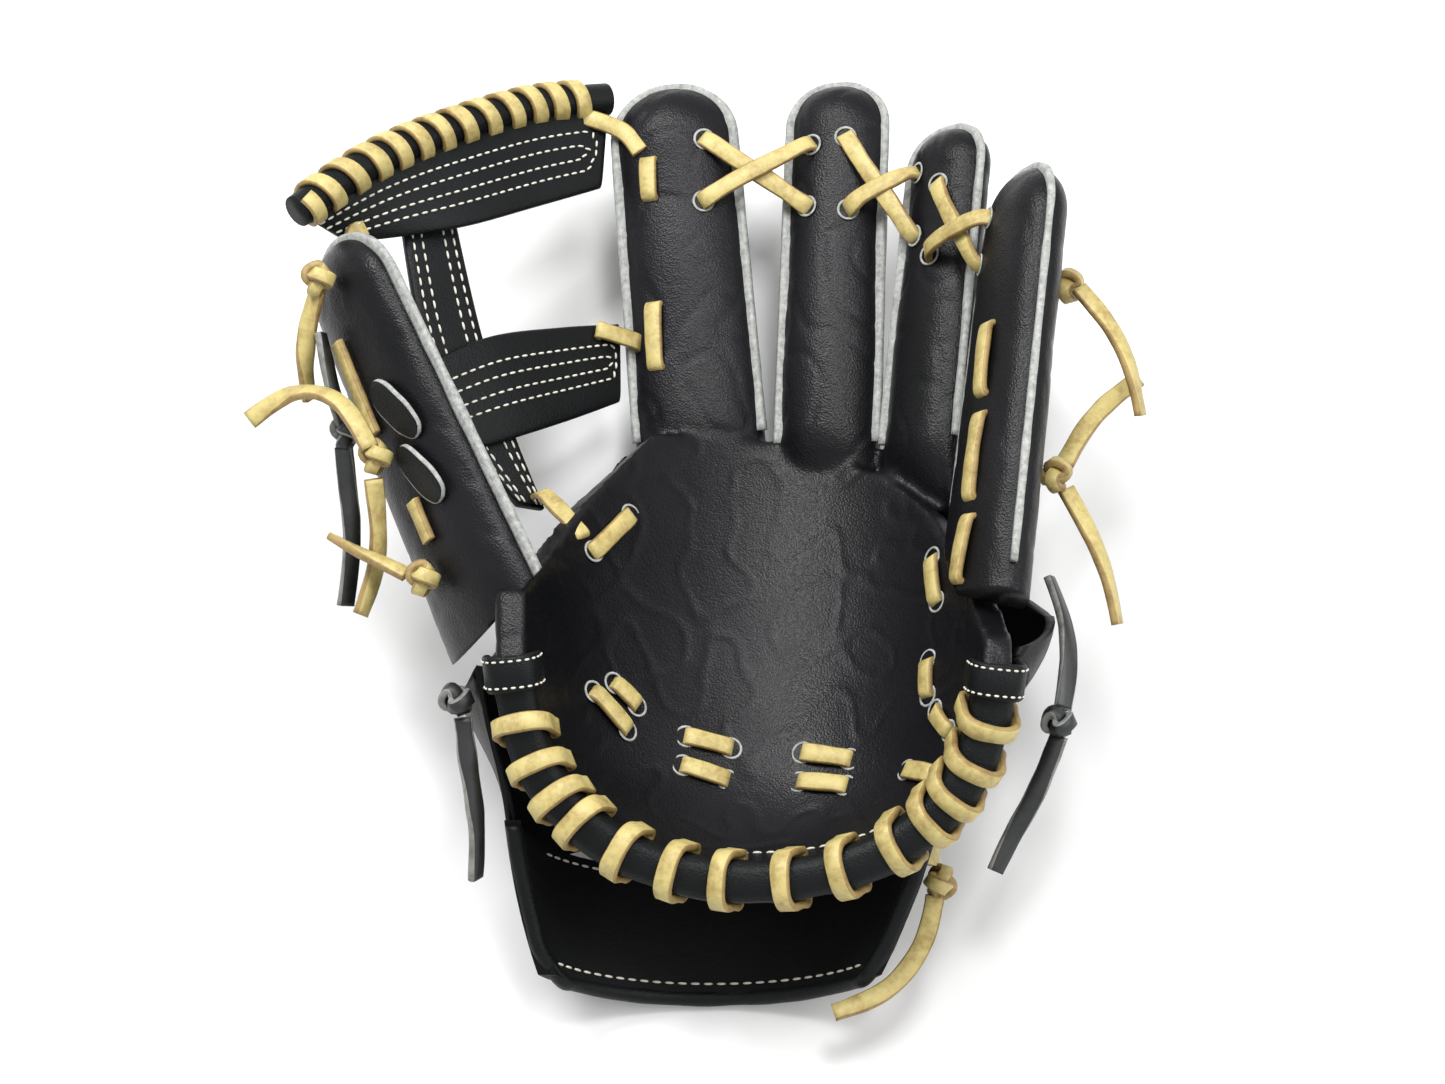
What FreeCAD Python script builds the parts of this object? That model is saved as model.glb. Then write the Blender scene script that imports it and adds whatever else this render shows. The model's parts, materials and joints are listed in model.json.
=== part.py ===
import FreeCAD, Part
import math
import os

# Fielding glove for the left hand, lying on its back with the pocket facing up.
# X runs across the hand (thumb at -X, little finger at +X), Y runs from the wrist to the
# fingertips and Z is up. Lengths are millimetres and angles are degrees.

Vector = FreeCAD.Vector
Placement = FreeCAD.Placement
Rotation = FreeCAD.Rotation

doc = FreeCAD.newDocument("fielding_glove")
sheet = doc.addObject("Spreadsheet::Sheet", "sizes")

SIZES = [
    ("leather_thick", 2.5, "shell leather"),
    ("pad_thick", 5.0, "felt pad in the palm and heel"),
    ("lining_thick", 1.5, "soft lining next to the hand"),
    ("layer_gap", 0.1, "clearance between layers that lie on each other"),
    ("seam_gap", 0.3, "clearance between panels that meet at a seam"),
    ("back_thick", 3.0, "leather of the back panel"),
    ("pocket_centre_x", 10.0, "axis of the pocket, across"),
    ("pocket_centre_z", 106.0, "axis of the pocket, height"),
    ("heel_ring_radius", 22.0, "centre of the heel curve, from the pocket axis"),
    ("heel_ring_y", -70.0, "centre of the heel curve, along"),
    ("heel_curve", 48.0, "radius of the heel curve at the leather face"),
    ("pocket_flare", 2.7, "angle by which the pocket widens towards the fingers"),
    ("pocket_reach", 75.0, "far end of the pocket profile before it is trimmed"),
    ("pocket_wrap", 183.0, "angle of the pocket around its axis"),
    ("rim_height", 66.0, "heel rim above the table, at the wrist"),
    ("rim_y", -116.0, "heel rim at the wrist, along"),
    ("rim_slope", 29.0, "angle of the heel rim above the table"),
    ("binding_thick", 1.5, "leather rolled over the heel rim"),
    ("binding_depth", 7.0, "depth of the rolled leather on each face"),
    ("lace_width", 6.0, "rawhide lace, flat width"),
    ("lace_thick", 2.2, "rawhide lace, thickness"),
    ("lace_clear", 0.3, "clearance of a lace in its hole and over the leather"),
    ("rim_hole_depth", 11.0, "lace holes below the heel rim"),
    ("rim_lace_lean", 24.0, "lean of the wraps along the heel rim"),
    ("welt_thick", 2.0, "raw leather welt in each finger seam"),
    ("welt_proud", 1.4, "welt beyond the finger leather"),
    ("finger_wall", 2.5, "finger stall wall"),
    ("hand_half_width", 99.0, "back panel half width at the knuckles"),
    ("hand_half_height", 61.0, "back panel half height at the knuckles"),
    ("wrist_half_width", 68.0, "back panel half width at the wrist end"),
    ("wrist_y", -97.5, "wrist end of the back panel"),
    ("strap_width", 42.0, "wrist strap, along the arm"),
    ("strap_thick", 3.5, "wrist strap"),
    ("strap_half_width", 58.0, "wrist strap half width at its free edge"),
    ("roll_radius", 5.5, "rolled edge along the top of the web"),
    ("web_thick", 4.0, "stitched leather of the web"),
    ("knot_radius", 6.0, "lace knot"),
    ("cord_width", 5.0, "free lace tail, as a round"),
    ("hinge_open", 9.5, "angle of the open wedge behind each fold"),
]
for row, (alias, value, note) in enumerate(SIZES, 1):
    sheet.set("A%d" % row, note)
    sheet.set("B%d" % row, str(value))
    sheet.setAlias("B%d" % row, alias)
doc.recompute()

REACH = 400.0  # edge of the trimming boxes, larger than the glove


def size(alias):
    return float(sheet.get(alias))


def bind(obj, prop, text):
    obj.setExpression(prop, text)


def cell(alias):
    return "sizes." + alias


def frame(origin, x_dir, y_dir, z_dir):
    """Placement whose axes lie along three given directions."""
    return Placement(origin, Rotation(x_dir, y_dir, z_dir, "ZXY"))


def frame_from_normal(origin, normal):
    return Placement(origin, Rotation(Vector(0, 0, 1), normal))


def unit(vector):
    return Vector(vector).normalize()


def across(vector, axis):
    """The part of a vector square to a unit axis, as a unit vector."""
    return unit(vector - axis * vector.dot(axis))


def add(kind, name):
    return doc.addObject(kind, name)


def cut(name, base, tool):
    obj = add("Part::Cut", name)
    obj.Base = base
    obj.Tool = tool
    return obj


def common(name, shapes):
    obj = add("Part::MultiCommon", name)
    obj.Shapes = shapes
    return obj


def half_space(name, point, normal):
    """A large box on the side of a plane that the normal points to."""
    box = add("Part::Box", name)
    box.Length = box.Width = box.Height = REACH
    turn = Rotation(Vector(0, 0, 1), normal)
    corner = turn.multVec(Vector(-REACH / 2, -REACH / 2, 0))
    box.Placement = Placement(point + corner, turn)
    return box


def feature(name, shape):
    obj = add("Part::Feature", name)
    obj.Shape = shape
    return obj


# ---------------------------------------------------------------- pocket surface

POCKET_X = size("pocket_centre_x")
POCKET_Z = size("pocket_centre_z")
FLARE = math.radians(size("pocket_flare"))
HEEL_END = 186.0  # where the heel curve stops, measured from the outward direction


def profile_radius(y, offset):
    """Distance from the pocket axis to a layer that lies `offset` behind the face."""
    curve = size("heel_curve") + offset
    ring_y = size("heel_ring_y")
    ring_r = size("heel_ring_radius")
    joint_y = ring_y - curve * math.sin(FLARE)
    if y >= joint_y:
        return ring_r + curve * math.cos(FLARE) + (y - joint_y) * math.tan(FLARE)
    return ring_r + math.sqrt(max(curve ** 2 - (y - ring_y) ** 2, 0.0))


def pocket_point(angle, y, offset=0.0):
    """A point behind the pocket face; angle 0 is the bottom, positive towards +X."""
    phi = math.radians(angle)
    radius = profile_radius(y, offset)
    return Vector(POCKET_X + radius * math.sin(phi), y, POCKET_Z - radius * math.cos(phi))


def pocket_normal(angle, y):
    """Unit normal of the pocket face, pointing into the pocket."""
    step = 0.5
    along = pocket_point(angle, y + step) - pocket_point(angle, y - step)
    around = pocket_point(angle + step, y) - pocket_point(angle - step, y)
    return unit(around.cross(along))


def pocket_layer(name, near, far):
    """Solid between two offsets behind the pocket face, turned about the pocket axis."""
    ring = Vector(POCKET_X, size("heel_ring_y"), POCKET_Z - size("heel_ring_radius"))
    outward = Vector(0, -math.sin(FLARE), -math.cos(FLARE))
    forward = Vector(0, math.cos(FLARE), -math.sin(FLARE))
    reach = size("pocket_reach") - size("heel_ring_y")
    end = math.radians(HEEL_END)
    last = Vector(0, -math.sin(end - math.pi / 2), math.cos(end - math.pi / 2))
    middle = unit(outward + Vector(0, -1, 0))
    curve = size("heel_curve")
    inner = [ring + d * (curve + near) for d in (outward, middle, last)]
    outer = [ring + d * (curve + far) for d in (outward, middle, last)]
    tip_in = inner[0] + forward * reach
    tip_out = outer[0] + forward * reach
    edges = [
        Part.LineSegment(tip_in, inner[0]).toShape(),
        Part.Arc(*inner).toShape(),
        Part.LineSegment(inner[2], outer[2]).toShape(),
        Part.Arc(*outer[::-1]).toShape(),
        Part.LineSegment(outer[0], tip_out).toShape(),
        Part.LineSegment(tip_out, tip_in).toShape(),
    ]
    section = feature(name + "_section", Part.Face(Part.Wire(edges)))
    layer = add("Part::Revolution", name)
    layer.Source = section
    layer.Axis = Vector(0, 1, 0)
    layer.Base = Vector(POCKET_X, 0, POCKET_Z)
    layer.Symmetric = True
    bind(layer, "Angle", cell("pocket_wrap"))
    return layer


# ---------------------------------------------------------------- planes that trim the panels

X_DIR = Vector(1, 0, 0)
Y_DIR = Vector(0, 1, 0)
Z_DIR = Vector(0, 0, 1)
SEAM = size("seam_gap") / 2
OPEN = math.radians(size("hinge_open"))

# each fold: its two ends on the pocket face, a point straight behind the first, and a point
# on the moving side
FOLDS = {
    "thumb": (Vector(-61, -35, 98), Vector(-44, 12, 56), Vector(-80, -51, 81), Vector(-124, 72, 92)),
    "pinky": (Vector(80, -51, 96), Vector(61, 9, 62), Vector(107, -50, 83), Vector(98, 94, 90)),
}


def fold_planes(name):
    """Point on the fold, normal of the moving side and normal of the palm side."""
    top, low, behind, far = FOLDS[name]
    axis = unit(low - top)
    back = across(behind - top, axis)
    normal = axis.cross(back)
    if normal.dot(far - top) < 0:
        normal = normal * -1
    palm_normal = normal * math.cos(OPEN) + back * math.sin(OPEN)
    return top, normal, palm_normal


def fold_cutters(name):
    point, normal, palm_normal = fold_planes(name)
    moving = half_space(name + "_moving_side", point + normal * SEAM, normal)
    palm = half_space(name + "_palm_side", point - palm_normal * SEAM, palm_normal * -1)
    return moving, palm


thumb_side, palm_by_thumb = fold_cutters("thumb")
pinky_side, palm_by_pinky = fold_cutters("pinky")

rim_lean = math.radians(size("rim_slope"))
RIM_POINT = Vector(POCKET_X, size("rim_y"), size("rim_height"))
RIM_NORMAL = Vector(0, -math.sin(rim_lean), math.cos(rim_lean))
below_rim = half_space("below_rim", RIM_POINT, RIM_NORMAL * -1)

# crotch between thumb and index finger, and the bases of the three middle fingers
WEB_CROTCH = Vector(-53, 10, 47)
INDEX_CORNER = Vector(-31, 44, 28)
WEB_NORMAL = unit((INDEX_CORNER - WEB_CROTCH).cross(Vector(-0.62, 0, -0.79)))
BASES = {
    "index": (Vector(-7, 45, 22), Y_DIR),
    "middle": (Vector(17, 45, 25), unit(Vector(0.42, 0.9, 0.04))),
    "ring": (Vector(54, 29, 36), unit(Vector(0.66, 0.7, 0.28))),
}
by_web = half_space("by_web", WEB_CROTCH, WEB_NORMAL * -1)
palm_by = {}
finger_by = {}
for finger, (point, normal) in BASES.items():
    palm_by[finger] = half_space("palm_by_" + finger, point - normal * SEAM, normal * -1)
    finger_by[finger] = half_space(finger + "_by_palm", point + normal * SEAM, normal)
PALM_LIMITS = [palm_by_thumb, palm_by_pinky, by_web] + list(palm_by.values())

# ---------------------------------------------------------------- laces and stitches

LACE_W = size("lace_width")
LACE_T = size("lace_thick")
CLEAR = size("lace_clear")
parts = {}  # node name: document object
holes = {}  # node name: solids that are cut from it
cords = []  # node names of free lace tails


def prism(outline, direction, width):
    """Flat outline swept by `width`, half to each side."""
    shift = direction * (-width / 2)
    wire = Part.makePolygon([p + shift for p in outline + outline[:1]])
    return Part.Face(wire).extrude(direction * width)


def staple(start, end, normal, rise=0.0, width=None, leg=None):
    """A lace seen from one hole to the next: a flat bar with a leg into each hole."""
    width = width or LACE_W
    leg = size("finger_wall") + 1.5 if leg is None else leg
    run = unit(end - start)
    side = unit(normal.cross(run))
    up = unit(run.cross(side))
    low = CLEAR + rise
    high = low + LACE_T
    outline = [
        start - up * leg, start - up * leg + run * LACE_T, start + run * LACE_T + up * low,
        end - run * LACE_T + up * low, end - run * LACE_T - up * leg, end - up * leg,
        end + up * high, start + up * high,
    ]
    return prism(outline, side, width)


def hole(point, normal, width=None, depth=12.0):
    """Round cutter for a lace hole, centred on the surface point."""
    radius = math.hypot(width or LACE_W, LACE_T) / 2 + CLEAR
    return Part.makeCylinder(radius, depth, point - normal * depth / 2, normal)


def ribbon(points, sides, width, thick):
    """Closed flat strip through stations with given width directions."""
    rings = []
    for i, (point, side) in enumerate(zip(points, sides)):
        before = points[max(i - 1, 0)]
        after = points[min(i + 1, len(points) - 1)]
        run = unit(after - before)
        side = across(side, run)
        up = run.cross(side)
        w = side * (width / 2)
        t = up * (thick / 2)
        rings.append([point - w - t, point + w - t, point + w + t, point - w + t])
    faces = []
    for near, far in zip(rings, rings[1:]):
        for i in range(4):
            j = (i + 1) % 4
            faces.append([near[i], near[j], far[j]])
            faces.append([near[i], far[j], far[i]])
    for ring in (rings[0][::-1], rings[-1]):
        faces.append([ring[0], ring[1], ring[2]])
        faces.append([ring[0], ring[2], ring[3]])
    shell = Part.Shell([Part.Face(Part.makePolygon(f + f[:1])) for f in faces])
    solid = Part.Solid(shell)
    if solid.Volume < 0:
        solid.reverse()
    return solid


def leg_spots(start, end):
    """Middles of the two legs of a staple."""
    inset = unit(end - start) * (LACE_T / 2)
    return start + inset, end - inset


def group(name, solids):
    parts[name] = feature(name, Part.makeCompound(solids) if len(solids) > 1 else solids[0])


def punch(name, cutters):
    holes.setdefault(name, []).extend(cutters)


# ---------------------------------------------------------------- finger stalls

DOME = [0.0, 20.0, 40.0, 58.0, 73.0, 84.0]  # stations around the rounded tip


class Stall:
    """A finger stall: a tube along `run` with its pocket side facing `front`."""

    def __init__(self, name, start, end, wide, length, half_width, half_thick, tip_scale):
        self.name = name
        self.start = start
        self.run = unit(end - start)
        self.wide = across(wide, self.run)
        self.front = self.run.cross(self.wide) * -1
        self.length = length
        self.half_width = half_width
        self.half_thick = half_thick
        self.tip_scale = tip_scale

    def stations(self, grow):
        """Distance along the stall and scale of each section."""
        dome = self.half_width * 0.9 * self.tip_scale
        straight = self.length - dome
        rows = [(-30.0, 1.0), (straight * 0.5, (1 + self.tip_scale) / 2)]
        for angle in DOME:
            turn = math.radians(angle)
            along = straight + (dome + grow) * math.sin(turn)
            rows.append((along, self.tip_scale * math.cos(turn)))
        return rows

    def axes(self, at):
        return frame(self.start + self.run * at, self.wide, self.front * -1, self.run)

    def form(self, name, grow):
        sections = []
        for i, (along, scale) in enumerate(self.stations(grow)):
            section = add("Part::Ellipse", "%s_section_%d" % (name, i))
            edge = max(scale, 0.1)
            section.MajorRadius = (self.half_width + grow) * edge
            section.MinorRadius = (self.half_thick + grow) * edge
            section.Placement = self.axes(along)
            sections.append(section)
        loft = add("Part::Loft", name)
        loft.Sections = sections
        loft.Solid = True
        loft.Ruled = True
        return loft

    def point(self, along, part, rise=0.0, face=1):
        """A point on the front face, or the back for face -1; `part` runs from -1 to 1 across."""
        rows = self.stations(0)
        scale = rows[-1][1]
        for (a, s), (b, t) in zip(rows, rows[1:]):
            if a <= along <= b:
                scale = s + (t - s) * (along - a) / (b - a)
        x = self.half_width * scale * part
        z = self.half_thick * scale * math.sqrt(max(1 - part ** 2, 0)) + rise
        return self.start + self.run * along + self.wide * x + self.front * (z * face)

    def slab(self, name, near, far):
        """Box between two distances in front of the middle of the stall."""
        box = add("Part::Box", name)
        box.Length = REACH
        box.Width = far - near
        box.Height = REACH
        corner = Vector(-REACH / 2, -far, -REACH / 2)
        base = self.axes(0)
        box.Placement = Placement(base.multVec(corner), base.Rotation)
        return box

    def build(self, limits):
        wall = size("finger_wall")
        gap = size("layer_gap")
        welt = size("welt_thick") / 2
        name = self.name
        outer = self.form(name + "_outer", 0)
        inner = self.form(name + "_inner", -wall)
        raised = self.form(name + "_raised", size("welt_proud"))
        slabs = {
            "front": (outer, welt + gap, REACH / 2),
            "back": (outer, -REACH / 2, -welt - gap),
            "welt": (raised, -welt, welt),
        }
        for side, (form, near, far) in slabs.items():
            wall_form = cut("%s_%s_wall" % (name, side), form, inner)
            slab = self.slab("%s_%s_slab" % (name, side), near, far)
            node = "%s_%s" % (name, side)
            parts[node] = common(node + "_body", [wall_form, slab] + limits)


def leaning(angle):
    turn = math.radians(angle)
    return Vector(math.cos(turn), 0, math.sin(turn))


STALLS = {
    "index": Stall("index", Vector(-7, 45, 21), Vector(-15, 138, 39), leaning(5), 128, 22.0, 11.5, 0.96),
    "middle": Stall("middle", Vector(35.5, 37, 29), Vector(39.5, 137, 43), leaning(13), 134, 17.4, 11.0, 0.97),
    "ring": Stall("ring", Vector(66, 29, 45.5), Vector(77, 130, 60), leaning(43), 118, 16.0, 10.0, 0.97),
    "pinky": Stall("pinky", Vector(80, -45, 77), Vector(98, 94, 91), leaning(64), 160, 22.5, 11.5, 0.9),
    "thumb": Stall("thumb", Vector(-73, -30, 73), Vector(-117, 68, 90), leaning(238), 128, 29.0, 13.0, 0.8),
}
PINKY_BASE = 12.5  # the little finger stall starts clear of the laced heel
pinky_base = half_space("pinky_base", STALLS["pinky"].start + STALLS["pinky"].run * PINKY_BASE,
                        STALLS["pinky"].run)
stall_limits = {finger: [limit] for finger, limit in finger_by.items()}
stall_limits["thumb"] = [thumb_side]
stall_limits["pinky"] = [pinky_side, pinky_base]
for finger, stall in STALLS.items():
    stall.build(stall_limits[finger])

# ---------------------------------------------------------------- palm, heel and back

LEATHER = size("leather_thick")
GAP = size("layer_gap")
PAD_NEAR = LEATHER + GAP
PAD_FAR = PAD_NEAR + size("pad_thick")
LINING_NEAR = PAD_FAR + GAP
HEEL_THICK = LINING_NEAR + size("lining_thick")
BINDING = size("binding_thick")

layers = {
    "palm_leather": (0.0, LEATHER),
    "palm_pad": (PAD_NEAR, PAD_FAR),
    "palm_lining": (LINING_NEAR, HEEL_THICK),
}
for node, (near, far) in layers.items():
    layer = pocket_layer(node + "_layer", near, far)
    parts[node] = common(node + "_body", [layer, below_rim] + PALM_LIMITS)

rim_outside = pocket_layer("rim_outside", -BINDING - GAP, HEEL_THICK + GAP + BINDING)
rim_inside = pocket_layer("rim_inside", -GAP, HEEL_THICK + GAP)
over_rim = half_space("over_rim", RIM_POINT + RIM_NORMAL * (BINDING + GAP), RIM_NORMAL * -1)
under_rim = half_space("under_rim", RIM_POINT - RIM_NORMAL * size("binding_depth"), RIM_NORMAL)
rim_core = common("rim_core", [rim_inside, half_space("rim_core_top", RIM_POINT + RIM_NORMAL * GAP,
                                                      RIM_NORMAL * -1)])
binding_form = common("binding_form", [rim_outside, over_rim, under_rim, palm_by_thumb, palm_by_pinky])
parts["heel_binding"] = cut("heel_binding_body", binding_form, rim_core)


SQUARENESS = 2.3  # 2 is an ellipse; more is flatter against the table


def blend_rows(rows, y):
    """Smooth values between rows of (y, value, ...)."""
    rows = sorted(rows)
    y = min(max(y, rows[0][0]), rows[-1][0])
    for low, high in zip(rows, rows[1:]):
        if y <= high[0]:
            break
    share = (y - low[0]) / (high[0] - low[0])
    share = share * share * (3 - 2 * share)
    return [a + (b - a) * share for a, b in zip(low[1:], high[1:])]


def back_point(angle, y, depth=0.0):
    """A point `depth` inside the back of the hand; angle 0 is underneath."""
    rows = [
        (size("wrist_y"), 0.0, 58.0, size("wrist_half_width"), 58.0),
        (-30.0, 7.0, size("hand_half_height"), size("hand_half_width"), size("hand_half_height")),
        (50.0, 8.0, 62.0, 88.0, 53.0),
    ]
    x, z, half_width, half_height = blend_rows(rows, y)
    turn = math.radians(angle)
    power = 2 / SQUARENESS
    across_part = math.copysign(abs(math.sin(turn)) ** power, math.sin(turn))
    down_part = math.copysign(abs(math.cos(turn)) ** power, math.cos(turn))
    return Vector(x + (half_width - depth) * across_part, y, z - (half_height - depth) * down_part)


def far_end(surface, angle, limits):
    """Largest y on a line of constant angle that is still inside every limit."""
    low, high = size("wrist_y"), size("pocket_reach")
    for _ in range(40):
        y = (low + high) / 2
        if all((surface(angle, y) - point).dot(normal) < 0 for point, normal in limits):
            low = y
        else:
            high = y
    return low


def patch_solid(outer, inner):
    """Faceted solid between two grids of points with the same layout."""
    rows, columns = len(outer), len(outer[0])
    corners = []
    for grid, flip in ((outer, False), (inner, True)):
        for i in range(rows - 1):
            for j in range(columns - 1):
                quad = [grid[i][j], grid[i + 1][j], grid[i + 1][j + 1], grid[i][j + 1]]
                corners.append(quad[::-1] if flip else quad)
    border = [(i, 0) for i in range(rows)] + [(rows - 1, j) for j in range(1, columns)]
    border += [(i, columns - 1) for i in range(rows - 2, -1, -1)]
    border += [(0, j) for j in range(columns - 2, -1, -1)]
    for (i, j), (k, m) in zip(border, border[1:]):
        corners.append([outer[k][m], outer[i][j], inner[i][j], inner[k][m]])
    faces = []
    for first, second, third, fourth in corners:
        faces.append(Part.Face(Part.makePolygon([first, second, third, first])))
        faces.append(Part.Face(Part.makePolygon([first, third, fourth, first])))
    shell = Part.Compound(faces)
    shell.sewShape(1e-4)
    solid = Part.Solid(shell.Shells[0])
    if solid.Volume < 0:
        solid.reverse()
    return solid


def plane_limit(point, normal, gap=0.0):
    return (point - normal * gap, normal)


PALM_PLANES = []
for fold in FOLDS:
    fold_point, _, fold_normal = fold_planes(fold)
    PALM_PLANES.append(plane_limit(fold_point, fold_normal, SEAM))
for base_point, base_normal in BASES.values():
    PALM_PLANES.append(plane_limit(base_point, base_normal, SEAM))
PALM_PLANES.append(plane_limit(WEB_CROTCH, WEB_NORMAL, SEAM))

BACK_LEFT = -116.0
BACK_RIGHT = 110.0
HAND_HOLE = 24.0  # how far the opening above the strap reaches into the back
HOLE_HALF = 55.0  # half of the angle that the opening spans
SIDE_START = 86.0  # angle past which the side edges slope up towards the folds
SIDE_RISE = 1.35  # millimetres along the hand for each degree past it


PINKY_SIDE_START = 74.0  # the little finger side is cut back around the heel
PINKY_SIDE_RISE = 3.3
PINKY_SIDE_MOST = 46.0


def back_wrist_edge(angle):
    y = size("wrist_y") + max(-angle - SIDE_START, 0) * SIDE_RISE
    y += min(max(angle - PINKY_SIDE_START, 0) * PINKY_SIDE_RISE, PINKY_SIDE_MOST)
    if abs(angle) < HOLE_HALF:
        y += HAND_HOLE * math.cos(math.radians(90 * angle / HOLE_HALF)) ** 2
    return y


def back_grid(depth, columns=25, rows=7):
    grid = []
    for i in range(columns):
        angle = BACK_LEFT + (BACK_RIGHT - BACK_LEFT) * i / (columns - 1)
        near = back_wrist_edge(angle)
        far = min(far_end(back_point, angle, PALM_PLANES),
                  far_end(lambda a, y: back_point(a, y, size("back_thick")), angle, PALM_PLANES))
        grid.append([back_point(angle, near + (far - near) * j / (rows - 1), depth)
                     for j in range(rows)])
    return grid


parts["back_panel"] = feature("back_panel_body", patch_solid(back_grid(0.0),
                                                             back_grid(size("back_thick"))))

CROTCH_THICK = 2.5


def crotch_grid(depth, columns=7):
    """Panel that closes the hand space between thumb and index finger."""
    grid = []
    for i in range(columns):
        angle = -58.0 + 26.0 * i / (columns - 1)
        lining = HEEL_THICK + SEAM * 2
        limits = [plane_limit(WEB_CROTCH, WEB_NORMAL, SEAM), plane_limit(*fold_planes("thumb")[::2], 1.0)]
        y = far_end(lambda a, b: pocket_point(a, b, lining), angle, limits)
        top = pocket_point(angle, y, lining)
        low = back_point(angle * 0.8, y, size("back_thick") + 1.2)
        shift = WEB_NORMAL * -depth
        grid.append([top + (low - top) * (j / 3) + shift for j in range(4)])
    return grid


parts["crotch_gusset"] = feature("crotch_gusset_body", patch_solid(crotch_grid(0.0),
                                                                   crotch_grid(CROTCH_THICK)))


def strap_form(name, shrink):
    rows = [
        (size("wrist_y") - size("seam_gap"), 0.0, 58.0, size("wrist_half_width"), 59.0),
        (size("wrist_y") - size("strap_width"), -4.0, 50.0, size("strap_half_width"), 50.0),
    ]
    sections = []
    for i, (y, x, z, half_width, half_height) in enumerate(rows):
        section = add("Part::Ellipse", "%s_section_%d" % (name, i))
        section.MajorRadius = half_width - shrink
        section.MinorRadius = half_height - shrink
        section.Placement = frame(Vector(x, y, z), X_DIR, Z_DIR * -1, Y_DIR)
        sections.append(section)
    loft = add("Part::Loft", name)
    loft.Sections = sections
    loft.Solid = True
    loft.Ruled = True
    return loft


table = half_space("table", Vector(0, 0, 0), Z_DIR)
STRAP_SLOPE = 35.0
strap_lean = math.radians(STRAP_SLOPE)
STRAP_EDGE = Vector(0, -45, 98)
below_edge = half_space("below_edge", STRAP_EDGE, Vector(0, math.sin(strap_lean), -math.cos(strap_lean)))
STRAP = size("strap_thick")
strap_outer = strap_form("strap_outer", 0.0)
strap_middle = strap_form("strap_middle", STRAP)
strap_lined = strap_form("strap_lined", STRAP + GAP)
strap_inner = strap_form("strap_inner", STRAP + GAP + size("lining_thick"))
strap_shell = cut("strap_shell", strap_outer, strap_middle)
lining_shell = cut("lining_shell", strap_lined, strap_inner)
parts["wrist_strap"] = common("wrist_strap_body", [strap_shell, table, below_edge])
parts["strap_lining"] = common("strap_lining_body", [lining_shell, below_edge])

# ---------------------------------------------------------------- lace along the heel rim


def rim_spot(angle):
    """Where the rim crosses the pocket face at an angle around the pocket axis."""
    low, high = size("rim_y") - 20.0, 60.0
    for _ in range(50):
        y = (low + high) / 2
        if (pocket_point(angle, y) - RIM_POINT).dot(RIM_NORMAL) > 0:
            low = y
        else:
            high = y
    return y


RIM_BOW = 2.4  # how far the heel bows away from a straight wrap


def rim_lace(angle):
    """One wrap of lace over the rim, and the slot that it passes through."""
    y = rim_spot(angle)
    point = pocket_point(angle, y)
    inward = pocket_normal(angle, y)
    along = unit(RIM_NORMAL.cross(inward))
    up = unit(inward.cross(along))
    if up.z < 0:
        up = up * -1
    lean = math.radians(size("rim_lace_lean"))
    upward = up * math.cos(lean) + along * math.sin(lean)
    side = unit(inward.cross(upward))
    face = BINDING + GAP + CLEAR + RIM_BOW
    back = -(HEEL_THICK + face)
    depth = size("rim_hole_depth")

    def ring(grow, top, bottom):
        corners = [(face + grow, -bottom), (face + grow, top), (back - grow, top), (back - grow, -bottom)]
        return [point + inward * n + upward * b for n, b in corners]

    top = face
    outer = prism(ring(LACE_T, top + LACE_T, depth + LACE_T / 2), side, LACE_W)
    inner = prism(ring(0.0, top, depth - LACE_T / 2), side, LACE_W + 2)
    slot = prism(ring(8.0, -(depth - LACE_T / 2 - CLEAR), depth + LACE_T / 2 + CLEAR), side,
                 LACE_W + 2 * CLEAR)
    return outer.cut(inner), slot


RIM_WRAPS = [-75.5, -70, -64.5, -59, -48, -33, -14, 13, 34, 50, 59, 64.5, 70, 75.5]
wraps = []
slots = []
for angle in RIM_WRAPS:
    wrap, slot = rim_lace(angle)
    wraps.append(wrap)
    slots.append(slot)
group("heel_lace", wraps)
for node in ("palm_leather", "palm_pad", "palm_lining", "heel_binding"):
    punch(node, slots)

TAB_BOW = 0.8  # how far the heel bows away from a straight tab


def rim_cap(angle, width, thick, depth):
    """A leather tab folded over the end of the heel rim."""
    y = rim_spot(angle)
    point = pocket_point(angle, y)
    inward = pocket_normal(angle, y)
    along = unit(RIM_NORMAL.cross(inward))
    up = unit(inward.cross(along))
    if up.z < 0:
        up = up * -1
    face = BINDING + GAP + CLEAR + TAB_BOW
    back = -(HEEL_THICK + face)
    corners = [(face, -depth), (face, face), (back, face), (back, -depth),
               (back - thick, -depth), (back - thick, face + thick), (face + thick, face + thick),
               (face + thick, -depth)]
    return prism([point + inward * n + up * b for n, b in corners], along, width)


TAB_WIDTH = 10.0
TAB_ANGLES = (-83.0, 82.0)
TAB_DEPTH = 9.0
group("heel_tabs", [rim_cap(angle, TAB_WIDTH, LEATHER, TAB_DEPTH) for angle in TAB_ANGLES])

# ---------------------------------------------------------------- laces across the palm


def palm_staple(first, last):
    """A lace on the pocket face between two holes given as (angle, y)."""
    start, end = pocket_point(*first), pocket_point(*last)
    normal = unit(pocket_normal(*first) + pocket_normal(*last))
    punch("palm_leather", [hole(spot, normal, depth=9.0) for spot in leg_spots(start, end)])
    return staple(start, end, normal, leg=LEATHER - 0.2)


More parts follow.
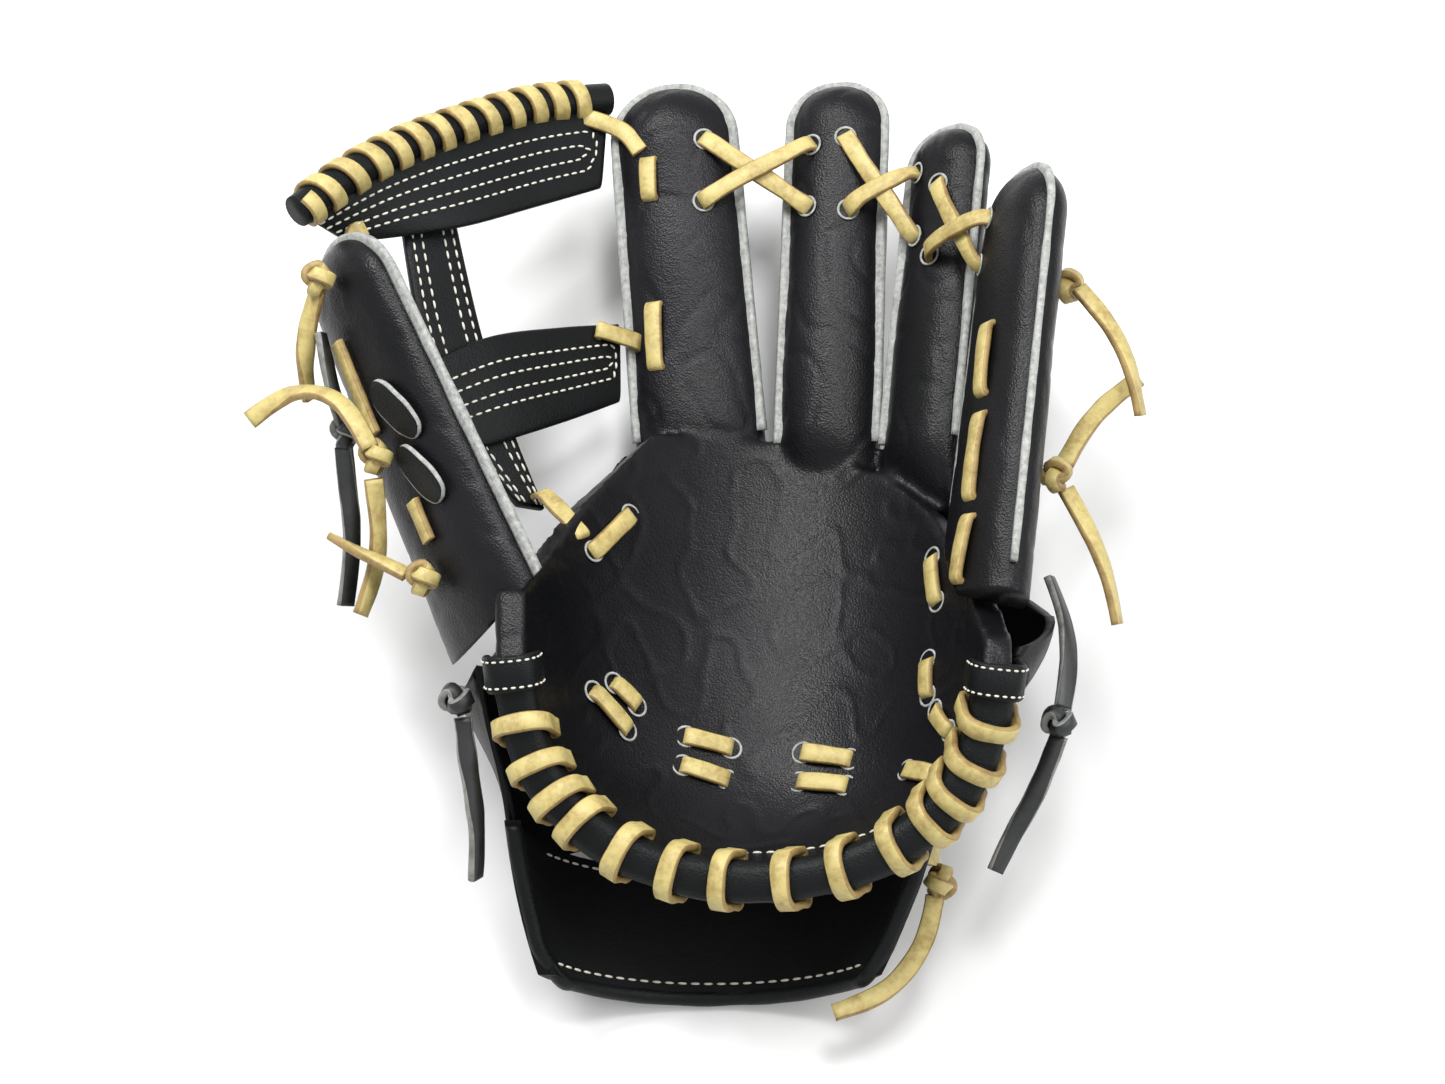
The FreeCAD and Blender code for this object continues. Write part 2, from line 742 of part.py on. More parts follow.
PALM_LACES = [
    ((-46, -54), (-35, -64)), ((-39, -49), (-32, -55)), ((-18, -63), (-6, -66)),
    ((-19, -73), (-7, -77)), ((13, -68), (26, -72)), ((12, -78), (25, -81)),
    ((51, -45), (51, -57)), ((54, -63), (60, -72)), ((44, -80), (55, -85)),
    ((-45, -5), (-33, 12)), ((52, -10), (54, -26)),
]
palm_staples = [palm_staple(*pair) for pair in PALM_LACES]


def stall_staple(finger, first, last, rise=0.0):
    """A lace on the front of one stall between two holes given as (along, part)."""
    stall = STALLS[finger]
    start, end = stall.point(*first), stall.point(*last)
    middle = (first[1] + last[1]) / 2
    lean_out = stall.half_thick / stall.half_width * middle / math.sqrt(1 - middle ** 2)
    normal = unit(stall.front + stall.wide * lean_out)
    punch(finger + "_front", [hole(spot, normal) for spot in leg_spots(start, end)])
    return staple(start, end, normal, rise + 0.3, leg=2.0)


def bridge(first, last, rise):
    """A lace from a hole in one stall to a hole in the next; ends are (finger, along, part)."""
    (finger_a, *spot_a), (finger_b, *spot_b) = first, last
    start, end = STALLS[finger_a].point(*spot_a), STALLS[finger_b].point(*spot_b)
    normal = unit(STALLS[finger_a].front + STALLS[finger_b].front)
    for finger, spot in zip((finger_a, finger_b), leg_spots(start, end)):
        punch(finger + "_front", [hole(spot, normal)])
        if finger in PADDED:
            punch(finger + "_pad", [hole(spot, normal)])
    return staple(start, end, normal, rise, leg=2.0)


OVER = LACE_T + CLEAR
PADDED = ("thumb", "pinky")
index_staples = [
    stall_staple("index", (101, -0.42), (87, -0.45)),
    stall_staple("index", (50, -0.52), (28, -0.56)),
]
group("palm_laces", palm_staples + index_staples)
group("tip_laces", [
    bridge(("index", 106, 0.5), ("middle", 88, -0.5), 1.0),
    bridge(("index", 84, 0.4), ("middle", 110, -0.45), 1.3 + OVER),
    bridge(("middle", 112, 0.25), ("ring", 78, -0.35), 1.0),
    bridge(("middle", 86, 0.35), ("ring", 101, -0.5), 2.5 + OVER),
])
group("pinky_laces", [
    stall_staple("pinky", (103, 0.16), (79, 0.2)),
    stall_staple("pinky", (72, 0.24), (44, 0.22)),
    stall_staple("pinky", (38, 0.26), (17, 0.14)),
])
group("ring_pinky_lace", [
    bridge(("ring", 95, 0.2), ("pinky", 128, -0.55), 2.0),
    bridge(("ring", 70, 0.16), ("pinky", 143, -0.35), 2.0 + OVER),
])

# ---------------------------------------------------------------- padding in the outer stalls


def stall_pad(finger):
    stall = STALLS[finger]
    form = stall.form(finger + "_pad_form", -size("finger_wall") - GAP)
    slab = stall.slab(finger + "_pad_slab", stall.half_thick * 0.45, REACH / 2)
    parts[finger + "_pad"] = common(finger + "_pad_body", [form, slab] + stall_limits[finger])


for finger in PADDED:
    stall_pad(finger)

# ---------------------------------------------------------------- web

WEB_T = size("web_thick")
ROLL = size("roll_radius")
WEB_TOP = [Vector(-137, 95, 99), Vector(-115, 119, 88), Vector(-91, 139, 74), Vector(-64, 157, 58),
           Vector(-40, 166, 46)]
WEB_TOP_LOW = [Vector(-123, 95, 77), Vector(-104, 99, 74), Vector(-84, 106, 68), Vector(-62, 120, 55),
               Vector(-42, 133, 43)]
CROSS_TOP = [Vector(-97, 56, 67), Vector(-77, 69, 60), Vector(-55, 79, 46), Vector(-36, 87, 32)]
CROSS_LOW = [Vector(-87, 28, 56), Vector(-68, 37, 50), Vector(-50, 49, 38), Vector(-35.5, 60, 27)]
POST_LEFT = [Vector(-105, 106, 75), Vector(-97, 66, 70), Vector(-86, 38, 59), Vector(-66, 15, 50)]
POST_RIGHT = [Vector(-88, 112, 68), Vector(-78, 71, 61), Vector(-68, 41, 52), Vector(-57, 15, 46)]


def web_normal(near, far):
    """Unit normals along a band between two edges, facing the pocket."""
    normals = []
    for i in range(len(near)):
        j, k = max(i - 1, 0), min(i + 1, len(near) - 1)
        normal = unit((near[k] - near[j]).cross(far[i] - near[i]))
        normals.append(normal if normal.z > 0 else normal * -1)
    return normals


def band(near, far, thick, rise=0.0):
    """Flat piece of the web between two edges, its middle `rise` above them."""
    grids = []
    for level in (rise + thick / 2, rise - thick / 2):
        grids.append([[a + (b - a) * t + n * level for t in (0.0, 0.5, 1.0)]
                      for a, b, n in zip(near, far, web_normal(near, far))])
    return patch_solid(*grids)


def rounded_path(points, radius_share=0.45):
    """Straight runs joined by arcs; returns the wire and the radii."""
    edges, radii = [], []
    start = points[0]
    for before, corner, after in zip(points, points[1:], points[2:]):
        into, out = unit(corner - before), unit(after - corner)
        turn = into.getAngle(out)
        shorter = min((corner - before).Length, (after - corner).Length)
        trim = radius_share * shorter
        radii.append(trim / math.tan(turn / 2))
        begin, end = corner - into * trim, corner + out * trim
        bow = radii[-1] * (1 / math.cos(turn / 2) - 1)
        middle = corner + unit(out - into) * bow
        edges.append(Part.LineSegment(start, begin).toShape())
        edges.append(Part.Arc(begin, middle, end).toShape())
        start = end
    edges.append(Part.LineSegment(start, points[-1]).toShape())
    return Part.Wire(edges), radii


def tube(points, radius):
    path, radii = rounded_path(points)
    profile = Part.Wire(Part.makeCircle(radius, points[0], points[1] - points[0]))
    solid = path.makePipeShell([profile], True, True)
    return solid, path.Length, radii


roll, _, _ = tube(WEB_TOP, ROLL)
group("web_roll", [roll])
downs = [unit(b - a) for a, b in zip(WEB_TOP, WEB_TOP_LOW)]
top_near = [a + d * (ROLL + CLEAR + 0.6) for a, d in zip(WEB_TOP, downs)]
group("web_top_bar", [band(top_near, WEB_TOP_LOW, WEB_T)])
group("web_cross_bar", [band(CROSS_TOP, CROSS_LOW, WEB_T)])
post = band(POST_LEFT, POST_RIGHT, WEB_T, -(WEB_T + CLEAR * 2))
group("web_post", [post.cut(band(CROSS_TOP, CROSS_LOW, WEB_T + 2 * CLEAR))])

WRAP_COUNT = 12
WRAP_GAP = 0.9
wraps = []
path_length = sum((b - a).Length for a, b in zip(WEB_TOP, WEB_TOP[1:]))
for i in range(WRAP_COUNT):
    at = path_length * (0.05 + 0.8 * i / (WRAP_COUNT - 1))
    for a, b in zip(WEB_TOP, WEB_TOP[1:]):
        if at <= (b - a).Length:
            break
        at -= (b - a).Length
    run = unit(b - a)
    centre = a + run * (at - LACE_W / 2)
    outside = Part.makeCylinder(ROLL + WRAP_GAP + LACE_T, LACE_W, centre, run)
    wraps.append(outside.cut(Part.makeCylinder(ROLL + WRAP_GAP, LACE_W, centre, run)))
    slot = Part.makeCylinder(ROLL + WRAP_GAP + LACE_T + CLEAR, LACE_W + 2 * CLEAR, centre - run * CLEAR, run)
    punch("web_top_bar", [slot])
group("web_top_lace", wraps)

# laces that tie the web to the thumb, the index finger and the palm
THUMB = STALLS["thumb"]
INDEX = STALLS["index"]


def strap_between(points, normal, width=None, thick=None):
    """Flat lace through points, lying square to a normal."""
    sides = []
    for i in range(len(points)):
        j, k = max(i - 1, 0), min(i + 1, len(points) - 1)
        sides.append(unit(normal.cross(points[k] - points[j])))
    return ribbon(points, sides, width or LACE_W, thick or LACE_T)


def threaded(nodes, points, normal):
    """A flat lace that passes through slots in the nodes named."""
    for node in nodes:
        punch(node, [strap_between(points, normal, LACE_W + 2 * CLEAR, LACE_T + 2 * CLEAR)])
    return strap_between(points, normal)


web_up = web_normal(CROSS_TOP, CROSS_LOW)
lace_lift = (WEB_T + LACE_T) / 2 + CLEAR
cross_right = CROSS_TOP[-1] + web_up[-1] * lace_lift
cross_left = CROSS_TOP[0] + web_up[0] * lace_lift
index_edge = [INDEX.point(along, -0.86, 1.8) for along in (108, 38)]
thumb_edge = [THUMB.point(along, 0.45, 1.6) for along in (112, 88)]
UP_Y = Vector(0, -0.3, 1)
UP_X = Vector(0.7, 0, 0.7)
by_index = ["web_top_bar", "web_cross_bar", "web_roll", "web_top_lace", "index_front"]
by_thumb = ["web_top_bar", "web_cross_bar", "thumb_front"]
by_crotch = ["web_post", "palm_leather"]
group("web_index_lace", [
    threaded(by_index, [WEB_TOP[-1] + Vector(-6, -9, 1.5), WEB_TOP[-1] + Vector(0, -12, 4), index_edge[0]],
             UP_Y),
    threaded(by_index, [cross_right + Vector(-9, -6, 1), cross_right + Vector(-1, -9, 0), index_edge[1]],
             UP_Y),
    threaded(by_crotch, [POST_RIGHT[-1] + Vector(-4, 7, 0.5), POST_RIGHT[-1] + Vector(-1, -4, 0.6),
                         pocket_point(-50, 4, -LACE_T / 2 - CLEAR) + Vector(-3, 3, -1)],
             Vector(0.3, -0.4, 1)),
])
group("web_thumb_lace", [
    threaded(by_thumb, [WEB_TOP_LOW[0] + Vector(4, 3, 4.5), WEB_TOP_LOW[0] + Vector(2, -1, 4.5),
                        thumb_edge[0]], UP_X),
    threaded(by_thumb, [cross_left + Vector(5, -3, -2), cross_left + Vector(-1, -5, 1), thumb_edge[1]],
             UP_X),
])

# ---------------------------------------------------------------- lace ends, knots and ties

CORD_D = size("cord_width")


def knot(name, centre, long_dir, stretch=1.25):
    ball = add("Part::Ellipsoid", name + "_form")
    bind(ball, "Radius2", cell("knot_radius"))
    bind(ball, "Radius3", cell("knot_radius"))
    bind(ball, "Radius1", "%s * %s" % (cell("knot_radius"), stretch))
    ball.Placement = frame_from_normal(centre, long_dir)
    return ball


def knots(name, centres, long_dir):
    balls = [knot("%s_%d" % (name, i), centre, long_dir) for i, centre in enumerate(centres)]
    parts[name] = balls[0]
    if len(balls) > 1:
        parts[name] = add("Part::Compound", name + "_body")
        parts[name].Links = balls


KNOT_R = size("knot_radius")
PINKY = STALLS["pinky"]
THUMB_KNOTS = [THUMB.point(along, part, KNOT_R + CLEAR, -1)
               for along, part in ((116, -0.3), (56, 0.0), (14, 0.05))]
PINKY_KNOTS = [PINKY.point(along, part, KNOT_R + CLEAR, -1) for along, part in ((124, 0.1), (58, 0.35))]
UPPER_TIE = THUMB.point(70, 0.5, KNOT_R + CLEAR, -1)
WRIST_KNOT = Vector(68.8, -113.2, 40.6)
THUMB_TIE = back_point(-108, -66, -(KNOT_R + CLEAR + 0.6))
PINKY_TIE = Vector(105.8, -66, 62)
knots("thumb_knots", THUMB_KNOTS, THUMB.run)
knots("pinky_knots", PINKY_KNOTS, PINKY.run)
knots("wrist_knot", [WRIST_KNOT], Vector(0.5, 0.8, 0.2))
knots("tie_knots", [THUMB_TIE, PINKY_TIE], Vector(0.1, 0.9, 0.2))
knots("upper_tie_knot", [UPPER_TIE], THUMB.run)


def back_strap(first, last, width, thick, rise, steps=4):
    """Flat strap along the back of the thumb stall between two (along, part) places."""
    stations = []
    for i in range(steps + 1):
        share = i / steps
        along = first[0] + (last[0] - first[0]) * share
        part = first[1] + (last[1] - first[1]) * share
        stations.append(THUMB.point(along, part, rise, -1))
    return strap_between(stations, THUMB.front * -1, width, thick)


group("thumb_laces", [back_strap((95, 0.14), (66, 0.12), LACE_W, LACE_T, LACE_T / 2 + 0.8),
                      back_strap((38, -0.1), (24, -0.1), LACE_W, LACE_T, LACE_T / 2 + 0.8)])
group("thumb_tabs", [back_strap((76, -0.27), (56, -0.68), 12.0, 1.6, 2.6),
                     back_strap((53, -0.27), (35, -0.6), 12.0, 1.6, 2.6)])
group("wrist_lace", [
    threaded(["wrist_strap", "strap_lining", "palm_lining", "palm_pad", "back_panel"],
             [Vector(61, -106, 53), Vector(66, -105, 46), Vector(68, -101, 36)], Vector(1, 0, 0.2)),
])

CORD_ROUTES = {
    "thumb_tip_tail": [(-129, 66, 100), (-132, 59, 95), (-133.5, 52, 89), (-134, 45, 83),
                       (-133, 38.5, 77)],
    "thumb_left_tail": [(-111, 14, 94), (-116, 24, 95), (-123, 32, 93.5), (-132, 36, 90),
                        (-142, 35, 86), (-151, 29, 82)],
    "thumb_down_tail": [(-110, 6, 88), (-109, -3, 81), (-109, -12, 74), (-111, -21, 68),
                        (-115, -31, 65)],
    "thumb_low_tail": [(-99, -24, 82), (-107, -19, 80), (-116, -14, 77), (-124, -8, 74)],
    "upper_tie_tail": [(-121, 21, 79), (-120, 10, 73), (-118.5, -1, 68), (-119, -13, 61),
                       (-121, -24, 55)],
    "upper_tie_loop": [(-120.5, 26.5, 81.3), (-123.5, 34, 85), (-125.5, 42, 88.5), (-127, 49, 90.5),
                       (-128.5, 55, 92)],
    "pinky_tip_tail": [(115, 73, 88), (122, 64, 88), (128, 54, 86), (132, 43, 83), (134, 32, 79)],
    "pinky_upper_tail": [(109, 15, 79), (114, 25, 77), (120, 34, 75), (127, 42, 72), (135, 49, 70)],
    "pinky_lower_tail": [(109, 6, 80), (114, -3, 78), (119, -13, 75), (123, -24, 71), (125, -35, 67)],
    "wrist_tail": [(67, -116, 39.5), (65.5, -125, 35), (61, -134, 31), (54, -142, 28), (45, -147, 26),
                   (35, -150, 25)],
    "thumb_tie_tail": [(-80, -71, 81), (-79, -82, 75), (-77, -93, 68), (-76, -104, 60), (-77, -114, 52)],
    "pinky_tie_tail": [(105.8, -70, 61), (101.8, -80, 57), (96.8, -90, 52), (90.8, -99, 47), (85.8, -109, 43)],
    "pinky_tie_loop": [(107.1, -61.5, 62), (109.3, -51, 62), (109.8, -40, 62.5), (108.3, -29, 63.5),
                       (104.2, -18, 64.5)],
}
for node, route in CORD_ROUTES.items():
    solid, length, radii = tube([Vector(*spot) for spot in route], CORD_D / 2)
    share = solid.Volume / (math.pi * CORD_D ** 2 / 4 * length)
    print("%s length %.1f radii %s volume share %.4f" % (node, length, [round(r) for r in radii], share))
    group(node, [solid])
    cords.append(node)


# ---------------------------------------------------------------- finish and export


def finish():
    doc.recompute()
    for node, cutters in holes.items():
        tool = feature(node + "_holes", Part.makeCompound(cutters))
        parts[node] = cut(node + "_pierced", parts[node], tool)
    doc.recompute()
    low = Vector(1e9, 1e9, 1e9)
    high = Vector(-1e9, -1e9, -1e9)
    for node, obj in parts.items():
        if node in cords:
            continue
        box = obj.Shape.optimalBoundingBox()
        low = Vector(min(low.x, box.XMin), min(low.y, box.YMin), min(low.z, box.ZMin))
        high = Vector(max(high.x, box.XMax), max(high.y, box.YMax), max(high.z, box.ZMax))
    shift = Vector(-(low.x + high.x) / 2, -(low.y + high.y) / 2, -low.z)
    print("shift", shift, "size", high - low)
    for node, obj in parts.items():
        obj.Label = node
        obj.Placement = Placement(shift, Rotation()).multiply(obj.Placement)
    doc.recompute()
    bad = [o.Name for o in doc.Objects if "Invalid" in o.State or "Error" in o.State]
    for node, obj in parts.items():
        if obj.Shape.isNull() or not obj.Shape.isValid() or not obj.Shape.Solids:
            bad.append(node)
    if bad:
        raise RuntimeError("failed: " + ", ".join(bad))
    os.makedirs("parts", exist_ok=True)
    for node, obj in parts.items():
        obj.Shape.exportStep("parts/%s.step" % node)
        print(node, len(obj.Shape.Solids), round(obj.Shape.Volume))


finish()
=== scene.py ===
import json
import math

import bmesh
import bpy
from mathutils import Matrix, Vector, noise


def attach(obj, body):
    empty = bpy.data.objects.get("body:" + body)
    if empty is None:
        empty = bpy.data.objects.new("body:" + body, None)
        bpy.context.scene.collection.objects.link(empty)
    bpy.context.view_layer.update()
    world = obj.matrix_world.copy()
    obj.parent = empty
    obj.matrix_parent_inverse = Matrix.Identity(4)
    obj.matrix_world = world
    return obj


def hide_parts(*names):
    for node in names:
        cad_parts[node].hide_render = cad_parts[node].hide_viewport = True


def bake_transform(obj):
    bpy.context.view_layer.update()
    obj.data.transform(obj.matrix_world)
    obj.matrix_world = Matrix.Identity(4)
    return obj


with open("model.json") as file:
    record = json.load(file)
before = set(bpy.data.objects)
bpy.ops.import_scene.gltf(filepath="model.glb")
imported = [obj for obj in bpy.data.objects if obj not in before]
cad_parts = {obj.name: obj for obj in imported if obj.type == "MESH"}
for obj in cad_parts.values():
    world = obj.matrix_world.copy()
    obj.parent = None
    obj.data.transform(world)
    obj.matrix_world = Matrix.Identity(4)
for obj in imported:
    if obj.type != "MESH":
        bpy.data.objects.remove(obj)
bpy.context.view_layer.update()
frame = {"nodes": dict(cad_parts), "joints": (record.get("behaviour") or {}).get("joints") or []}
scene = bpy.context.scene

# ------------------------ frame and units

# lengths below are in millimetres, in the axes of the pocket; `place` takes them to the frame
FOLD_TOP = {"thumb": Vector((-61, -35, 98)), "pinky": Vector((80, -51, 96))}
FOLD_LOW = {"thumb": Vector((-44, 12, 56)), "pinky": Vector((61, 9, 62))}
thumb_joint = next(j for j in frame["joints"] if j["name"] == "thumb_fold")
ORIGIN = Vector(thumb_joint["pos_m"]) - FOLD_TOP["thumb"] / 1000


def place(point):
    return point / 1000 + ORIGIN


def unit(vector):
    return vector.normalized()


def across(vector, axis):
    """Part of a vector that is square to an axis, as a unit vector."""
    return unit(vector - axis * vector.dot(axis))


def mix(a, b, share):
    return a + (b - a) * share


# ------------------------ camera

VIEW_TILT = math.radians(22)  # the camera leans back from straight down
VIEW_RANGE = 1100.0
LENS = 84.32
VIEW_TARGET = Vector((0, 0, 50))

camera = bpy.data.objects.new("camera", bpy.data.cameras.new("camera"))
scene.collection.objects.link(camera)
back_off = Vector((0, -math.sin(VIEW_TILT), math.cos(VIEW_TILT)))
camera.location = place(VIEW_TARGET + back_off * VIEW_RANGE)
camera.rotation_euler = (VIEW_TILT, 0, 0)
camera.data.lens = LENS
camera.data.sensor_width = 36
camera.data.clip_start = 0.01
scene.camera = camera

# ------------------------ materials


class Nodes:
    """Short names for the nodes of one material."""

    def __init__(self, name):
        self.material = bpy.data.materials.new(name)
        self.material.use_nodes = True
        self.tree = self.material.node_tree
        self.shader = self.tree.nodes["Principled BSDF"]
        self.coords = self.tree.nodes.new("ShaderNodeTexCoord").outputs["Object"]

    def link(self, source, target):
        self.tree.links.new(source, target)

    def noise(self, scale, detail=4.0, rough=0.55, source=None):
        node = self.tree.nodes.new("ShaderNodeTexNoise")
        node.inputs["Scale"].default_value = scale
        node.inputs["Detail"].default_value = detail
        node.inputs["Roughness"].default_value = rough
        self.link(source or self.coords, node.inputs["Vector"])
        return node.outputs["Fac"]

    def cells(self, scale, feature="F1"):
        node = self.tree.nodes.new("ShaderNodeTexVoronoi")
        node.feature = feature
        node.inputs["Scale"].default_value = scale
        self.link(self.coords, node.inputs["Vector"])
        return node.outputs["Distance"]

    def ramp(self, source, stops):
        node = self.tree.nodes.new("ShaderNodeValToRGB")
        while len(node.color_ramp.elements) < len(stops):
            node.color_ramp.elements.new(0.5)
        for element, (at, colour) in zip(node.color_ramp.elements, stops):
            element.position = at
            element.color = (*colour, 1)
        self.link(source, node.inputs["Fac"])
        return node.outputs["Color"]

    def span(self, source, low, high):
        node = self.tree.nodes.new("ShaderNodeMapRange")
        node.inputs["To Min"].default_value = low
        node.inputs["To Max"].default_value = high
        self.link(source, node.inputs["Value"])
        return node.outputs["Result"]

    def maths(self, operation, a, b):
        node = self.tree.nodes.new("ShaderNodeMath")
        node.operation = operation
        for socket, value in zip(node.inputs, (a, b)):
            if isinstance(value, (int, float)):
                socket.default_value = value
            else:
                self.link(value, socket)
        return node.outputs[0]

    def bump(self, height, strength, distance, under=None):
        node = self.tree.nodes.new("ShaderNodeBump")
        node.inputs["Strength"].default_value = strength
        node.inputs["Distance"].default_value = distance
        self.link(height, node.inputs["Height"])
        if under:
            self.link(under, node.inputs["Normal"])
        return node.outputs["Normal"]


def srgb(red, green, blue):
    """Linear colour from 0-255 display values."""
    def line(v):
        v /= 255
        return v / 12.92 if v <= 0.04045 else ((v + 0.055) / 1.055) ** 2.4
    return line(red), line(green), line(blue)


def leather(name, dark, light, rough=(0.34, 0.5), grain=0.35, gloss=0.5):
    """Dyed leather: fine pebbled grain, soft creases, worn lighter patches."""
    m = Nodes(name)
    patches = m.noise(14, 5, 0.6)
    m.link(m.ramp(patches, [(0.35, dark), (0.72, light)]), m.shader.inputs["Base Color"])
    m.link(m.span(m.noise(38, 4), *rough), m.shader.inputs["Roughness"])
    m.shader.inputs["Specular IOR Level"].default_value = gloss
    creases = m.bump(m.noise(70, 6, 0.7), 0.25, 0.0012)
    pebbles = m.maths("ADD", m.cells(1500), m.maths("MULTIPLY", m.noise(900, 3), 0.7))
    m.link(m.bump(pebbles, grain, 0.00035, creases), m.shader.inputs["Normal"])
    return m.material


def rawhide(name, pale, deep, rough=(0.42, 0.62)):
    """Waxed lace: long mottling, darker scuffs and a fibrous face."""
    m = Nodes(name)
    broad = m.maths("MULTIPLY", m.noise(120, 5, 0.65), 0.7)
    mottle = m.maths("ADD", broad, m.maths("MULTIPLY", m.noise(600, 3), 0.3))
    m.link(m.ramp(mottle, [(0.34, deep), (0.55, pale), (0.8, tuple(c * 1.12 for c in pale))]),
           m.shader.inputs["Base Color"])
    m.link(m.span(m.noise(200, 3), *rough), m.shader.inputs["Roughness"])
    m.link(m.bump(m.noise(1100, 4, 0.7), 0.35, 0.0003), m.shader.inputs["Normal"])
    return m.material


def cloth(name, dark, light, rough=0.9):
    m = Nodes(name)
    m.link(m.ramp(m.noise(500, 5, 0.7), [(0.3, dark), (0.7, light)]), m.shader.inputs["Base Color"])
    m.shader.inputs["Roughness"].default_value = rough
    m.link(m.bump(m.noise(1400, 4, 0.8), 0.6, 0.0004), m.shader.inputs["Normal"])
    return m.material


BLACK = leather("black_leather", srgb(9, 11, 12), srgb(19, 21, 22), (0.36, 0.5), 0.35, 0.14)
PALM = leather("palm_leather", srgb(9, 10, 12), srgb(21, 20, 24), (0.28, 0.4), 0.3, 0.17)
STRAP = leather("strap_leather", srgb(7, 9, 9), srgb(15, 17, 17), (0.45, 0.62), 0.3, 0.1)
LACE = rawhide("tan_lace", srgb(190, 174, 112), srgb(150, 128, 74))
LACE_EDGE = rawhide("tan_lace_edge", srgb(150, 126, 76), srgb(112, 88, 46))
DARK_LACE = rawhide("black_lace", srgb(30, 32, 33), srgb(14, 15, 16), (0.35, 0.5))
DARK_EDGE = rawhide("black_lace_edge", srgb(128, 128, 124), srgb(70, 70, 68))
WELT = cloth("raw_welt", srgb(120, 123, 120), srgb(184, 186, 182))
LINING = leather("lining", srgb(9, 10, 10), srgb(17, 18, 18), (0.55, 0.7), 0.3, 0.12)
THREAD = cloth("thread", srgb(186, 184, 172), srgb(226, 224, 212), 0.75)

# ------------------------ mesh helpers


def mesh_piece(name, points, faces, materials, body=None, face_materials=None, smooth=True):
    mesh = bpy.data.meshes.new(name)
    mesh.from_pydata([place(p) for p in points], [], faces)
    mesh.update()
    for material in materials:
        mesh.materials.append(material)
    if face_materials:
        for polygon, index in zip(mesh.polygons, face_materials):
            polygon.material_index = index
    if smooth:
        mesh.shade_smooth()
    piece = bpy.data.objects.new(name, mesh)
    scene.collection.objects.link(piece)
    if body:
        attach(piece, body)
    return piece


class Build:
    """Points and faces of one mesh with several parts."""

    def __init__(self):
        self.points = []
        self.faces = []
        self.kinds = []

    def grid(self, rows, closed_across=False, closed_along=False, kinds=None, caps=False):
        """Quads between rows of equal length; `kinds` gives the material of each strip across."""
        start = len(self.points)
        width = len(rows[0])
        for row in rows:
            self.points.extend(row)
        for i in range(len(rows) - (0 if closed_along else 1)):
            k = (i + 1) % len(rows)
            for j in range(width - (0 if closed_across else 1)):
                n = (j + 1) % width
                self.faces.append((start + i * width + j, start + i * width + n,
                                   start + k * width + n, start + k * width + j))
                self.kinds.append(kinds[j % len(kinds)] if kinds else 0)
        if caps:
            last = start + (len(rows) - 1) * width
            self.faces.append(tuple(range(start + width - 1, start - 1, -1)))
            self.faces.append(tuple(range(last, last + width)))
            self.kinds.extend([1 if kinds else 0] * 2)

    def slab(self, front, back):
        """Closed sheet from two matching grids of points."""
        start = len(self.points)
        rows, width = len(front), len(front[0])
        for grid in (front, back):
            for row in grid:
                self.points.extend(row)
        half = rows * width

        def at(side, i, j):
            return start + side * half + i * width + j

        for i in range(rows - 1):
            for j in range(width - 1):
                self.faces.append((at(0, i, j), at(0, i, j + 1), at(0, i + 1, j + 1), at(0, i + 1, j)))
                self.faces.append((at(1, i, j), at(1, i + 1, j), at(1, i + 1, j + 1), at(1, i, j + 1)))
        rim = [(0, j) for j in range(width)] + [(i, width - 1) for i in range(1, rows)]
        rim += [(rows - 1, j) for j in range(width - 2, -1, -1)] + [(i, 0) for i in range(rows - 2, 0, -1)]
        for (a, b), (c, d) in zip(rim, rim[1:] + rim[:1]):
            self.faces.append((at(0, a, b), at(1, a, b), at(1, c, d), at(0, c, d)))
        self.kinds.extend([0] * (len(self.faces) - len(self.kinds)))

    def piece(self, name, materials, body=None, slot=None, smooth=True):
        piece = mesh_piece(name, self.points, self.faces, materials, body,
                           self.kinds if len(materials) > 1 else None, smooth)
        edit = bmesh.new()
        edit.from_mesh(piece.data)
        bmesh.ops.recalc_face_normals(edit, faces=edit.faces)
        edit.to_mesh(piece.data)
        edit.free()
        return piece


def curve_points(points, count, closed=False):
    """Smooth path through points (Catmull-Rom), evenly numbered."""
    n = len(points)
    out = []
    spans = n if closed else n - 1
    for k in range(count):
        at = spans * k / (count if closed else count - 1)
        i = min(int(at), spans - 1)
        t = at - i
        if closed:
            a, b, c, d = (points[(i + o) % n] for o in (-1, 0, 1, 2))
        else:
            a, b = points[max(i - 1, 0)], points[i]
            c, d = points[min(i + 1, n - 1)], points[min(i + 2, n - 1)]
        out.append(0.5 * (b * 2 + (c - a) * t + (a * 2 - b * 5 + c * 4 - d) * t * t
                          + (b * 3 - a - c * 3 + d) * t ** 3))
    return out


# the outline of a lace: flat faces with rounded edges, as (across, up) shares of its half sizes
LACE_OUTLINE = [(-1.0, -0.45), (-0.86, -1.0), (0.0, -1.0), (0.86, -1.0), (1.0, -0.45),
                (1.0, 0.45), (0.86, 1.0), (0.0, 1.0), (-0.86, 1.0), (-1.0, 0.45)]
LACE_KINDS = [1, 0, 0, 1, 1, 1, 0, 0, 1, 1]  # flat faces first, cut edges second


